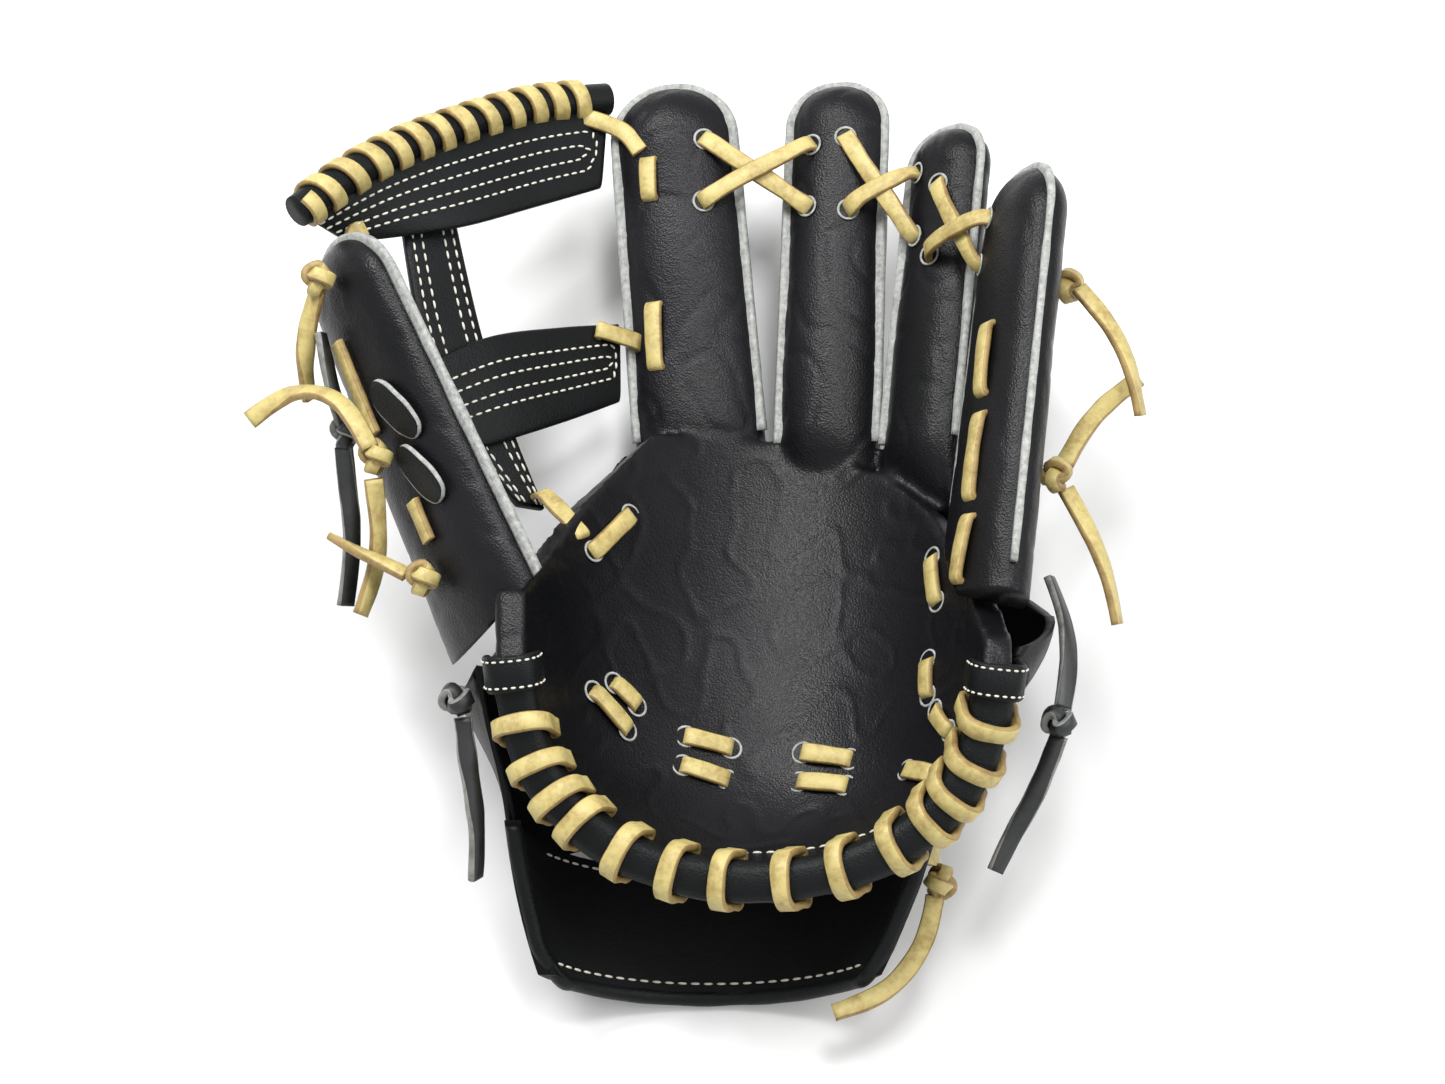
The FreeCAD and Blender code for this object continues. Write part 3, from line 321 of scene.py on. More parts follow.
def lace_rows(path, ups, width, thick, closed=False, wander=0.12, rounded=0.0):
    """Cross-sections of a flat lace along a path with its flat face towards `ups`."""
    rows = []
    n = len(path)
    for i, point in enumerate(path):
        if closed:
            run = unit(path[(i + 1) % n] - path[i - 1])
        else:
            run = unit(path[min(i + 1, n - 1)] - path[max(i - 1, 0)])
        up = across(ups[i] if isinstance(ups, list) else ups, run)
        side = up.cross(run)
        uneven = 1 + wander * noise.noise(point * 0.12)
        if rounded:
            uneven *= max(1 - abs(2 * i / (n - 1) - 1) ** rounded, 0.004) ** 0.5
        rows.append([point + side * (a * width / 2 * uneven) + up * (b * thick / 2) for a, b in LACE_OUTLINE])
    return rows


def add_lace(build, points, ups, width=6.0, thick=2.2, steps=5, closed=False):
    count = max(steps * len(points), 6)
    path = curve_points(points, count, closed)
    if isinstance(ups, list):
        ups = curve_points(ups, count, closed)
    build.grid(lace_rows(path, ups, width, thick, closed), True, closed, LACE_KINDS, not closed)


# ------------------------ pocket and stalls

POCKET_X, POCKET_Z = 10.0, 106.0
RING_R, RING_Y, HEEL_CURVE, FLARE = 22.0, -70.0, 48.0, math.radians(2.7)
HEEL_THICK = 9.2
RIM_LEAN = math.radians(29)
RIM_POINT = Vector((POCKET_X, -116, 66))
RIM_NORMAL = Vector((0, -math.sin(RIM_LEAN), math.cos(RIM_LEAN)))


def profile_radius(y, offset):
    curve = HEEL_CURVE + offset
    join = RING_Y - curve * math.sin(FLARE)
    if y >= join:
        return RING_R + curve * math.cos(FLARE) + (y - join) * math.tan(FLARE)
    return RING_R + math.sqrt(max(curve ** 2 - (y - RING_Y) ** 2, 0))


def pocket_point(angle, y, offset=0.0):
    turn = math.radians(angle)
    radius = profile_radius(y, offset)
    return Vector((POCKET_X + radius * math.sin(turn), y, POCKET_Z - radius * math.cos(turn)))


def pocket_normal(angle, y):
    turn = math.radians(angle)
    slope = (profile_radius(y + 0.5, 0) - profile_radius(y - 0.5, 0))
    return unit(Vector((-math.sin(turn), slope, math.cos(turn))))


def rim_spot(angle):
    low, high = -136.0, 60.0
    for _ in range(40):
        y = (low + high) / 2
        if (pocket_point(angle, y) - RIM_POINT).dot(RIM_NORMAL) > 0:
            low = y
        else:
            high = y
    return y


class Stall:
    """A finger stall: a tube along `run` with its pocket side facing `front`."""

    def __init__(self, start, end, lean, length, half_width, half_thick, tip_scale):
        self.start = Vector(start)
        self.run = unit(Vector(end) - self.start)
        turn = math.radians(lean)
        self.wide = across(Vector((math.cos(turn), 0, math.sin(turn))), self.run)
        self.front = self.run.cross(self.wide) * -1
        self.length = length
        self.half_width = half_width
        self.half_thick = half_thick
        self.tip_scale = tip_scale

    def scale(self, along):
        dome = self.half_width * 0.9 * self.tip_scale
        straight = self.length - dome
        if along <= straight:
            return mix(1.0, self.tip_scale, max(along, 0) / straight)
        return self.tip_scale * math.sqrt(max(1 - ((along - straight) / dome) ** 2, 0.0))

    def point(self, along, part, rise=0.0, face=1):
        scale = self.scale(along)
        x = self.half_width * scale * part
        z = self.half_thick * scale * math.sqrt(max(1 - part ** 2, 0)) + rise
        return self.start + self.run * along + self.wide * x + self.front * (z * face)

    def ring(self, along, grow=0.0, count=40, power=2.0):
        scale = max(self.scale(along), 0.02)
        out = []
        for i in range(count):
            turn = math.tau * i / count
            c, s = math.cos(turn), math.sin(turn)
            share = (abs(c) ** power + abs(s) ** power) ** (-1 / power)
            out.append(self.start + self.run * along
                       + self.wide * ((self.half_width * scale + grow) * c * share)
                       + self.front * ((self.half_thick * scale + grow) * s * share))
        return out


STALLS = {
    "index": Stall((-7, 45, 21), (-15, 138, 39), 5, 128, 22.0, 11.5, 0.96),
    "middle": Stall((35.5, 37, 29), (39.5, 137, 43), 13, 134, 17.4, 11.0, 0.97),
    "ring": Stall((66, 29, 45.5), (77, 130, 60), 43, 118, 16.0, 10.0, 0.97),
    "pinky": Stall((80, -45, 77), (98, 94, 91), 64, 160, 22.5, 11.5, 0.9),
    "thumb": Stall((-73, -30, 73), (-117, 68, 90), 238, 128, 29.0, 13.0, 0.8),
}
BASES = {
    "index": (Vector((-7, 45, 22)), Vector((0, 1, 0))),
    "middle": (Vector((17, 45, 25)), unit(Vector((0.42, 0.9, 0.04)))),
    "ring": (Vector((54, 29, 36)), unit(Vector((0.66, 0.7, 0.28)))),
}
BEHIND = {"thumb": (Vector((-80, -51, 81)), Vector((-124, 72, 92))),
          "pinky": (Vector((107, -50, 83)), Vector((98, 94, 90)))}
HINGE_OPEN = math.radians(9.5)


def fold_planes(name):
    """Point on the fold, normal of the moving side and normal of the palm side."""
    top, low = FOLD_TOP[name], FOLD_LOW[name]
    behind, far = BEHIND[name]
    axis = unit(low - top)
    back = across(behind - top, axis)
    normal = axis.cross(back)
    if normal.dot(far - top) < 0:
        normal = -normal
    return top, normal, normal * math.cos(HINGE_OPEN) + back * math.sin(HINGE_OPEN)


WEB_CROTCH = Vector((-53, 10, 47))
INDEX_CORNER = Vector((-31, 44, 28))
WEB_NORMAL = unit((INDEX_CORNER - WEB_CROTCH).cross(Vector((-0.62, 0, -0.79))))
PALM_PLANES = [(fold_planes("thumb")[0], fold_planes("thumb")[2]),
               (fold_planes("pinky")[0], fold_planes("pinky")[2]),
               (WEB_CROTCH, WEB_NORMAL)] + list(BASES.values())


def far_end(surface, angle, limits, low=-97.5, high=75.0):
    for _ in range(36):
        y = (low + high) / 2
        if all((surface(angle, y) - point).dot(normal) < 0 for point, normal in limits):
            low = y
        else:
            high = y
    return low


def keep_side(piece, point, normal, gap=0.0):
    """Cuts a mesh by a plane, keeps what lies along the normal and closes the cut."""
    edit = bmesh.new()
    edit.from_mesh(piece.data)
    geometry = edit.verts[:] + edit.edges[:] + edit.faces[:]
    cut = bmesh.ops.bisect_plane(edit, geom=geometry, plane_co=place(point + normal * gap),
                                 plane_no=normal, clear_inner=True)
    edges = [g for g in cut["geom_cut"] if isinstance(g, bmesh.types.BMEdge)]
    bmesh.ops.holes_fill(edit, edges=edges)
    edit.to_mesh(piece.data)
    edit.free()


def ease(piece, name, **settings):
    """Adds a modifier and applies it to the mesh."""
    modifier = piece.modifiers.new(name.lower(), name)
    for key, value in settings.items():
        setattr(modifier, key, value)
    graph = bpy.context.evaluated_depsgraph_get()
    mesh = bpy.data.meshes.new_from_object(piece.evaluated_get(graph))
    piece.modifiers.clear()
    old = piece.data
    piece.data = mesh
    bpy.data.meshes.remove(old)
    mesh.shade_smooth()


# ------------------------ palm with the three middle stalls

CREASE_SIZE = 0.028  # waves of the leather per millimetre
CREASE_DEPTH = 0.9


def crumple(piece, depth=CREASE_DEPTH, size=CREASE_SIZE, seed=0.0):
    """Moves the skin in and out a little, as worn leather does."""
    for vertex in piece.data.vertices:
        at = vertex.co * 1000
        wave = noise.noise(at * size + Vector((seed, 0, 0)))
        fold = 1 - abs(noise.noise(at * size * 2.3 + Vector((0, seed, 7)))) * 2
        vertex.co += vertex.normal * (wave * depth + max(fold - 0.75, 0) * -depth * 1.6) / 1000


PALM_LEFT, PALM_RIGHT = -83.2, 81.5  # angles where the palm's leather ends


def palm_columns(count=110, rows=84):
    front, back = [], []
    for i in range(count):
        angle = mix(PALM_LEFT, PALM_RIGHT, i / (count - 1))
        near = rim_spot(angle)
        far = max(far_end(pocket_point, angle, PALM_PLANES), near + 0.8)
        front.append([pocket_point(angle, mix(near, far, j / (rows - 1))) for j in range(rows)])
        back.append([pocket_point(angle, mix(near, far, j / (rows - 1)), HEEL_THICK) for j in range(rows)])
    return front, back


VOXEL = 0.0015
palm = Build()
palm.slab(*palm_columns())
for finger in ("index", "middle", "ring"):
    stall = STALLS[finger]
    dome = [stall.length - stall.half_width * 0.9 * stall.tip_scale * (1 - math.sin(math.radians(a)))
            for a in range(0, 90, 6)]
    alongs = [mix(-20, dome[0], i / 24) for i in range(24)] + dome
    rows = []
    for at in alongs:
        centre = stall.start + stall.run * at
        sink = min(max((10 - at) / 30, 0) ** 2 * 1.7, 1.7)  # the pocket side goes down into the palm
        rows.append([p - stall.front * (max((p - centre).dot(stall.front), 0) * sink)
                     for p in stall.ring(at)])
    palm.grid(rows, True, False, None, True)
palm_skin = palm.piece("palm_skin", [PALM])
ease(palm_skin, "REMESH", mode="VOXEL", voxel_size=VOXEL)
ease(palm_skin, "SMOOTH", factor=0.5, iterations=7)
crumple(palm_skin)
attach(palm_skin, "palm")
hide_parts("palm_leather", "palm_pad", "palm_lining", "index_front", "index_back",
            "middle_front", "middle_back", "ring_front", "ring_back")

# ------------------------ folding stalls

PINKY_BASE, THUMB_BASE = 12.5, -17.0
for finger in ("thumb", "pinky"):
    stall = STALLS[finger]
    dome_length = stall.half_width * 0.9 * stall.tip_scale
    alongs = [mix(-30, stall.length - dome_length, i / 70) for i in range(70)]
    alongs += [stall.length - dome_length * (1 - math.sin(math.radians(a))) for a in range(0, 90, 4)]
    form = Build()
    rows = []
    for at in alongs:
        centre = stall.start + stall.run * at
        ring = stall.ring(at, 0.0, 72)
        rows.append([centre + (p - centre) * (1 - 0.05 * abs(unit(p - centre).dot(stall.wide)) ** 10)
                     for p in ring])
    form.grid(rows, True, False, None, True)
    skin = form.piece(finger + "_skin", [PALM])
    point, normal, _ = fold_planes(finger)
    crumple(skin, 0.7, 0.035, 3.0)
    keep_side(skin, point, normal, 0.15)
    keep_side(skin, stall.start + stall.run * (PINKY_BASE if finger == "pinky" else THUMB_BASE), stall.run)
    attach(skin, finger)
    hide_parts(finger + "_front", finger + "_back", finger + "_pad")

# ------------------------ back of the hand

BACK_ROWS = [(-97.5, 0.0, 58.0, 68.0, 58.0), (-30.0, 7.0, 61.0, 99.0, 61.0), (50.0, 8.0, 62.0, 88.0, 53.0)]
SQUARENESS = 2.3
BACK_LEFT, BACK_RIGHT = -116.0, 110.0
BACK_THICK = 3.0


def blend_rows(rows, y):
    y = min(max(y, rows[0][0]), rows[-1][0])
    for low, high in zip(rows, rows[1:]):
        if y <= high[0]:
            break
    share = (y - low[0]) / (high[0] - low[0])
    share = share * share * (3 - 2 * share)
    return [mix(a, b, share) for a, b in zip(low[1:], high[1:])]


def back_point(angle, y, depth=0.0):
    x, z, half_width, half_height = blend_rows(BACK_ROWS, y)
    turn = math.radians(angle)
    power = 2 / SQUARENESS
    side = math.copysign(abs(math.sin(turn)) ** power, math.sin(turn))
    down = math.copysign(abs(math.cos(turn)) ** power, math.cos(turn))
    return Vector((x + (half_width - depth) * side, y, z - (half_height - depth) * down))


def wrist_edge(angle):
    y = -97.5 + max(-angle - 86, 0) * 1.35 + min(max(angle - 74, 0) * 3.3, 46)
    if abs(angle) < 55:
        y += 24 * math.cos(math.radians(90 * angle / 55)) ** 2
    return y


def back_grid(depth, columns=96, rows=40):
    grid = []
    for i in range(columns):
        angle = mix(BACK_LEFT, BACK_RIGHT, i / (columns - 1))
        near = wrist_edge(angle)
        far = min(far_end(back_point, angle, PALM_PLANES),
                  far_end(lambda a, y: back_point(a, y, BACK_THICK), angle, PALM_PLANES))
        grid.append([back_point(angle, mix(near, far, j / (rows - 1)), depth) for j in range(rows)])
    return grid


def crotch_grid(depth, columns=14):
    grid = []
    top_point, _, palm_normal = fold_planes("thumb")
    for i in range(columns):
        angle = mix(-58.0, -32.0, i / (columns - 1))
        limits = [(WEB_CROTCH - WEB_NORMAL * 0.3, WEB_NORMAL), (top_point - palm_normal, palm_normal)]
        y = far_end(lambda a, b: pocket_point(a, b, HEEL_THICK + 0.3), angle, limits)
        top = pocket_point(angle, y, HEEL_THICK + 0.3)
        low = back_point(angle * 0.8, y, BACK_THICK + 1.2)
        grid.append([mix(top, low, j / 6) - WEB_NORMAL * depth for j in range(7)])
    return grid


back = Build()
back.slab(back_grid(0.0), back_grid(BACK_THICK))
back_skin = back.piece("back_skin", [BLACK])
crumple(back_skin, 0.6, 0.03, 9.0)
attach(back_skin, "palm")
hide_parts("back_panel")
gusset = Build()
gusset.slab(crotch_grid(0.0), crotch_grid(2.5))
gusset_skin = gusset.piece("gusset_skin", [BLACK], "palm", "black_leather")
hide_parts("crotch_gusset")

# ------------------------ heel: rolled edge and laces

LACE_W, LACE_T = 6.0, 2.2
RIM_WRAPS = [-75.5, -70, -64.5, -59, -48, -33, -14, 13, 34, 50, 59, 64.5, 70, 75.5]
RIM_LEAN_ALONG = math.radians(24)
HOLE_DEPTH = 11.0


def rim_axes(angle):
    point = pocket_point(angle, rim_spot(angle))
    inward = pocket_normal(angle, rim_spot(angle))
    along = unit(RIM_NORMAL.cross(inward))
    up = unit(inward.cross(along))
    if up.z < 0:
        up = -up
    return point, inward, along, up


# outline of the rolled edge and of a lace wrap, as (inward, up) from the rim
ROLLED_EDGE = [(1.8, -7.0), (2.0, -4.5), (2.0, -1.5), (1.2, 1.0), (-1.5, 2.2), (-4.6, 2.5), (-7.7, 2.2),
               (-10.4, 1.0), (-11.2, -1.5), (-11.2, -4.5), (-11.0, -7.0), (-9.0, -7.2), (-9.0, -1.0),
               (-0.2, -1.0), (-0.2, -7.2)]
edge = Build()
rows = []
for i in range(150):
    point, inward, along, up = rim_axes(mix(-82.5, 80.5, i / 149))
    swell = 1 + 0.06 * noise.noise(point * 0.09)
    rows.append([point + inward * (n * swell) + up * b for n, b in ROLLED_EDGE])
edge.grid(rows, True, False, None, True)
rolled_edge = edge.piece("heel_edge", [BLACK], "palm", "binding")
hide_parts("heel_binding")

FRONT_FACE, BACK_FACE = 3.6, -12.8
WRAP_LOOP = [
    ((FRONT_FACE, -HOLE_DEPTH), (1, -0.6)), ((FRONT_FACE + 0.2, -6), (1, 0)), ((FRONT_FACE, 0), (1, 0.3)),
    ((0.5, 3.6), (0.5, 1)), ((-4.6, 4.4), (0, 1)), ((-9.7, 3.6), (-0.5, 1)), ((BACK_FACE, 0), (-1, 0.3)),
    ((BACK_FACE, -6), (-1, 0)), ((BACK_FACE, -HOLE_DEPTH), (-1, -0.6)),
    ((-8.5, -HOLE_DEPTH - 1), (-0.2, -1)), ((-0.7, -HOLE_DEPTH - 1), (0.2, -1)),
]
wraps = Build()
rings = Build()


def eyelet(build, centre, normal, radius=3.9, wire=0.55):
    """Raw leather edge around a lace hole."""
    first = across(Vector((0, 1, 0.2)), normal)
    second = normal.cross(first)
    rows = []
    for i in range(18):
        turn = math.tau * i / 18
        out = first * math.cos(turn) + second * math.sin(turn)
        rows.append([centre + out * (radius + wire * math.cos(a)) + normal * (wire * 0.6 * math.sin(a))
                     for a in (0, 1.05, 2.1, 3.14, 4.2, 5.2)])
    build.grid(rows, True, True)


for angle in RIM_WRAPS:
    point, inward, along, up = rim_axes(angle)
    upward = unit(up * math.cos(RIM_LEAN_ALONG) + along * math.sin(RIM_LEAN_ALONG))
    loop = [point + inward * n + upward * b for (n, b), _ in WRAP_LOOP]
    ups = [inward * n + upward * b for _, (n, b) in WRAP_LOOP]
    add_lace(wraps, loop, ups, LACE_W, LACE_T, 5, True)
    eyelet(rings, point - upward * (HOLE_DEPTH + 0.5) + inward * 0.6, inward)
heel_lace = wraps.piece("heel_wraps", [LACE, LACE_EDGE], "palm", "tan_lace")
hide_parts("heel_lace")

# ------------------------ laces that go from hole to hole


def dip(build, start, end, normal, rise=1.4, depth=3.0, start_normal=None, end_normal=None):
    """A lace that comes out of one hole, lies on the leather and goes into the next."""
    run = unit(end - start)
    first, last = start_normal or normal, end_normal or normal
    path = [start - first * depth, start + first * (rise * 0.5) + run * 0.6,
            mix(start, end, 0.3) + normal * rise, mix(start, end, 0.7) + normal * rise,
            end + last * (rise * 0.5) - run * 0.6, end - last * depth]
    ups = [first * 0.3 - run, first - run * 0.5, normal, normal, last + run * 0.5, last * 0.3 + run]
    add_lace(build, path, ups, LACE_W, LACE_T * 0.9, 5)


PALM_LACES = [
    ((-46, -54), (-35, -64)), ((-39, -49), (-32, -55)), ((-18, -63), (-6, -66)),
    ((-19, -73), (-7, -77)), ((13, -68), (26, -72)), ((12, -78), (25, -81)),
    ((51, -45), (51, -57)), ((54, -63), (60, -72)), ((44, -80), (55, -85)),
    ((-45, -5), (-33, 12)), ((52, -10), (54, -26)),
]
laces = Build()
for first, last in PALM_LACES:
    normal = unit(pocket_normal(*first) + pocket_normal(*last))
    start, end = pocket_point(*first), pocket_point(*last)
    dip(laces, start, end, normal, 1.3)
    for spot in (start, end):
        eyelet(rings, spot + normal * 0.3, normal, 3.4, 0.45)


def stall_normal(finger, part):
    stall = STALLS[finger]
    lean = stall.half_thick / stall.half_width * part / math.sqrt(1 - part ** 2)
    return unit(stall.front + stall.wide * lean)


def stall_lace(build, finger, first, last):
    normal = stall_normal(finger, (first[1] + last[1]) / 2)
    start, end = STALLS[finger].point(*first), STALLS[finger].point(*last)
    dip(build, start, end, normal, 1.5)


stall_lace(laces, "index", (101, -0.42), (87, -0.45))
stall_lace(laces, "index", (50, -0.52), (28, -0.56))
palm_laces = laces.piece("palm_dashes", [LACE, LACE_EDGE], "palm", "tan_lace")
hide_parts("palm_laces")


def bridge(build, first, last, rise):
    (finger_a, along_a, part_a), (finger_b, along_b, part_b) = first, last
    start, end = STALLS[finger_a].point(along_a, part_a), STALLS[finger_b].point(along_b, part_b)
    normal = unit(STALLS[finger_a].front + STALLS[finger_b].front)
    first_up, last_up = stall_normal(finger_a, part_a), stall_normal(finger_b, part_b)
    dip(build, start, end, normal, rise, 3.5, first_up, last_up)
    for spot, up in ((start, first_up), (end, last_up)):
        eyelet(rings, spot + up * 0.2, up, 3.4, 0.45)


crossings = Build()
bridge(crossings, ("index", 106, 0.5), ("middle", 88, -0.5), 1.8)
bridge(crossings, ("index", 84, 0.4), ("middle", 110, -0.45), 3.9)
bridge(crossings, ("middle", 112, 0.25), ("ring", 78, -0.35), 1.8)
bridge(crossings, ("middle", 86, 0.35), ("ring", 101, -0.5), 4.1)
tip_laces = crossings.piece("tip_crosses", [LACE, LACE_EDGE], "palm", "tan_lace")
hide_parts("tip_laces")
outer_cross = Build()
bridge(outer_cross, ("ring", 95, 0.2), ("pinky", 128, -0.55), 2.4)
bridge(outer_cross, ("ring", 70, 0.16), ("pinky", 143, -0.35), 4.6)
outer_lace = outer_cross.piece("outer_cross", [LACE, LACE_EDGE], None, "tan_lace")
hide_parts("ring_pinky_lace")
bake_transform(outer_lace)
little = Build()
for first, last in (((103, 0.16), (79, 0.2)), ((72, 0.24), (44, 0.22)), ((38, 0.26), (17, 0.14))):
    stall_lace(little, "pinky", first, last)
pinky_laces = little.piece("pinky_dashes", [LACE, LACE_EDGE], "pinky", "tan_lace")
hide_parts("pinky_laces")
rings.piece("lace_holes", [WELT], "palm", "raw_welt")

# ------------------------ back of the thumb


def back_strip(first, last, width, thick, rise, build, rounded=0.0):
    thumb = STALLS["thumb"]
    path = []
    for i in range(6):
        share = i / 5
        path.append(thumb.point(mix(first[0], last[0], share), mix(first[1], last[1], share), rise, -1))
    build.grid(lace_rows(curve_points(path, 30), -thumb.front, width, thick, rounded=rounded), True, False,
               LACE_KINDS, True)


strips = Build()
back_strip((97, 0.14), (64, 0.12), LACE_W, LACE_T, 1.6, strips)
back_strip((38, -0.1), (24, -0.1), LACE_W, LACE_T, 1.6, strips)
thumb_laces = strips.piece("thumb_dashes", [LACE, LACE_EDGE], "thumb", "tan_lace")
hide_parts("thumb_laces")
tabs = Build()
back_strip((77, -0.25), (55, -0.66), 12.5, 1.6, 1.9, tabs, 3.0)
back_strip((54, -0.25), (33, -0.6), 12.5, 1.6, 1.9, tabs, 3.0)
thumb_tabs = tabs.piece("thumb_patches", [BLACK, WELT], "thumb", "black_leather")
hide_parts("thumb_tabs")

# ------------------------ web

WEB_T, ROLL = 4.0, 5.5
WEB_TOP = [(-137, 95, 99), (-115, 119, 88), (-91, 139, 74), (-64, 157, 58), (-40, 166, 46)]
WEB_TOP_LOW = [(-123, 95, 77), (-104, 99, 74), (-84, 106, 68), (-62, 120, 55), (-42, 133, 43)]
CROSS_TOP = [(-97, 56, 67), (-77, 69, 60), (-55, 79, 46), (-36, 87, 32)]
CROSS_LOW = [(-87, 28, 56), (-68, 37, 50), (-50, 49, 38), (-35.5, 60, 27)]
POST_LEFT = [(-105, 106, 75), (-97, 66, 70), (-86, 38, 59), (-66, 15, 50)]
POST_RIGHT = [(-88, 112, 68), (-78, 71, 61), (-68, 41, 52), (-57, 15, 46)]


def web_edges(near, far, count=40):
    a = curve_points([Vector(p) for p in near], count)
    b = curve_points([Vector(p) for p in far], count)
    normals = []
    for i in range(count):
        j, k = max(i - 1, 0), min(i + 1, count - 1)
        normal = unit((a[k] - a[j]).cross(b[i] - a[i]))
        normals.append(normal if normal.z > 0 else -normal)
    return a, b, normals


def add_band(build, near, far, rise=0.0, thick=WEB_T):
    """Stitched leather band with rounded edges."""
    a, b, normals = web_edges(near, far)
    rows = []
    for p, q, n in zip(a, b, normals):
        middle, half = (p + q) / 2, (q - p) / 2
        ring = []
        for k in range(28):
            turn = math.tau * k / 28
            c, s = math.cos(turn), math.sin(turn)
            c = math.copysign(abs(c) ** 0.35, c)
            s = math.copysign(abs(s) ** 0.55, s)
            ring.append(middle + half * c + n * (rise + thick / 2 * s))
        rows.append(ring)
    build.grid(rows, True, False, None, True)


def add_tube(build, path, radius, count=20, uneven=0.05):
    rows = []
    side = Vector((0.3, 0.2, 1))
    for i, point in enumerate(path):
        run = unit(path[min(i + 1, len(path) - 1)] - path[max(i - 1, 0)])
        side = across(side, run)
        other = run.cross(side)
        swell = radius * (1 + uneven * noise.noise(point * 0.1))
        turns = [math.tau * k / count for k in range(count)]
        rows.append([point + (side * math.cos(t) + other * math.sin(t)) * swell for t in turns])
    build.grid(rows, True, False, None, True)


def web_piece(build, name, materials, slot, *nodes):
    piece = build.piece(name, materials, None, slot)
    if nodes:
        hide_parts(*nodes)
    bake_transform(piece)
    return piece


top_path = curve_points([Vector(p) for p in WEB_TOP], 90)
roll = Build()
add_tube(roll, top_path, ROLL)
web_piece(roll, "web_rolled_edge", [BLACK], "black_leather", "web_roll")
bars = Build()
near_edge = [Vector(a) + unit(Vector(b) - Vector(a)) * (ROLL - 1.5) for a, b in zip(WEB_TOP, WEB_TOP_LOW)]
add_band(bars, near_edge, WEB_TOP_LOW)
web_piece(bars, "web_upper_bar", [BLACK], "black_leather", "web_top_bar")
cross = Build()
add_band(cross, CROSS_TOP, CROSS_LOW)
web_piece(cross, "web_middle_bar", [BLACK], "black_leather", "web_cross_bar")
post = Build()
add_band(post, POST_LEFT, POST_RIGHT, -(WEB_T + 0.6))
web_piece(post, "web_upright", [BLACK], "black_leather", "web_post")

TURNS = 12.5
spiral = Build()
path, ups = [], []
for i in range(int(TURNS * 22)):
    share = i / (TURNS * 22 - 1)
    at = mix(0.03, 0.9, share) * (len(top_path) - 1)
    k = min(int(at), len(top_path) - 2)
    centre = mix(top_path[k], top_path[k + 1], at - k)
    run = unit(top_path[k + 1] - top_path[k])
    side = across(Vector((0.3, 0.2, 1)), run)
    turn = math.tau * TURNS * share
    out = side * math.cos(turn) + run.cross(side) * math.sin(turn)
    path.append(centre + out * (ROLL + 0.9))
    ups.append(out)
spiral.grid(lace_rows(path, ups, 5.6, 1.9), True, False, LACE_KINDS, True)
web_piece(spiral, "web_spiral", [LACE, LACE_EDGE], "tan_lace", "web_top_lace")

# short laces that hold the web to the thumb, the index finger and the palm
INDEX, THUMB = STALLS["index"], STALLS["thumb"]
ties = Build()
add_lace(ties, [Vector((-50, 158, 49)), Vector((-43, 155, 51)), INDEX.point(112, -0.8, 1.5),
                INDEX.point(104, -0.55, 0.5)], Vector((0, -0.3, 1)), LACE_W, LACE_T, 6)
dip(ties, Vector((-42, 81, 40)), INDEX.point(38, -0.82, 0.3), unit(Vector((-0.2, -0.1, 1))), 1.2)
dip(ties, Vector((-59, 17, 50.5)), pocket_point(-49, -1), unit(Vector((0.5, -0.2, 1))), 1.2)
web_ties = ties.piece("web_ties_index", [LACE, LACE_EDGE], "palm", "tan_lace")
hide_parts("web_index_lace")
ties = Build()
for points in ([Vector((-117, 98, 82)), Vector((-121, 93, 83)), THUMB.point(112, 0.45, 1.6),
                THUMB.point(104, 0.5, 0.5)],
               [Vector((-91, 53, 70)), Vector((-97, 50, 74)), THUMB.point(88, 0.45, 1.6),
                THUMB.point(80, 0.45, 0.5)]):
    add_lace(ties, points, Vector((0.7, 0, 0.7)), LACE_W, LACE_T, 6)
web_piece(ties, "web_ties_thumb", [LACE, LACE_EDGE], "tan_lace", "web_thumb_lace")

# ------------------------ stitching

STITCH_PITCH, STITCH_LENGTH, STITCH_R = 4.2, 2.9, 0.42


def sew(build, path, normal, pitch=STITCH_PITCH, length=STITCH_LENGTH, radius=STITCH_R):
    """A row of short threads along a path; `normal` is a vector or one for each point."""
    walked = 0.0
    for i, (a, b) in enumerate(zip(path, path[1:])):
        step = (b - a).length
        while walked < step:
            at = mix(a, b, walked / step)
            run = unit(b - a)
            up = across(normal[i] if isinstance(normal, list) else normal, run)
            side = run.cross(up)
            rows = []
            for share in (-1, -0.8, -0.35, 0.35, 0.8, 1):
                thin = math.sqrt(max(1 - abs(share) ** 3, 0.02)) * radius
                centre = at + run * (share * length / 2) + up * (radius * 0.4 * (1 - share * share))
                turns = [math.tau * k / 6 for k in range(6)]
                rows.append([centre + (side * math.cos(t) + up * math.sin(t)) * thin for t in turns])
            build.grid(rows, True, False, None, True)
            walked += pitch
        walked -= step


STRAP_TOP_Y, STRAP_DROP = -97.8, 41.7
# centre x, centre z, half width and half height of the strap where it starts and ends
STRAP_START, STRAP_END = (0, 58, 68, 59), (-4, 50, 58, 50)


def strap_spot(turn, y, depth):
    """A point of the wrist strap at `turn` degrees from its lowest line, `depth` in from the outside."""
    share = (STRAP_TOP_Y - y) / STRAP_DROP
    x, z, half_width, half_height = (mix(p, q, share) for p, q in zip(STRAP_START, STRAP_END))
    a = math.radians(turn)
    return Vector((x + (half_width - depth) * math.sin(a), y, z - (half_height - depth) * math.cos(a)))


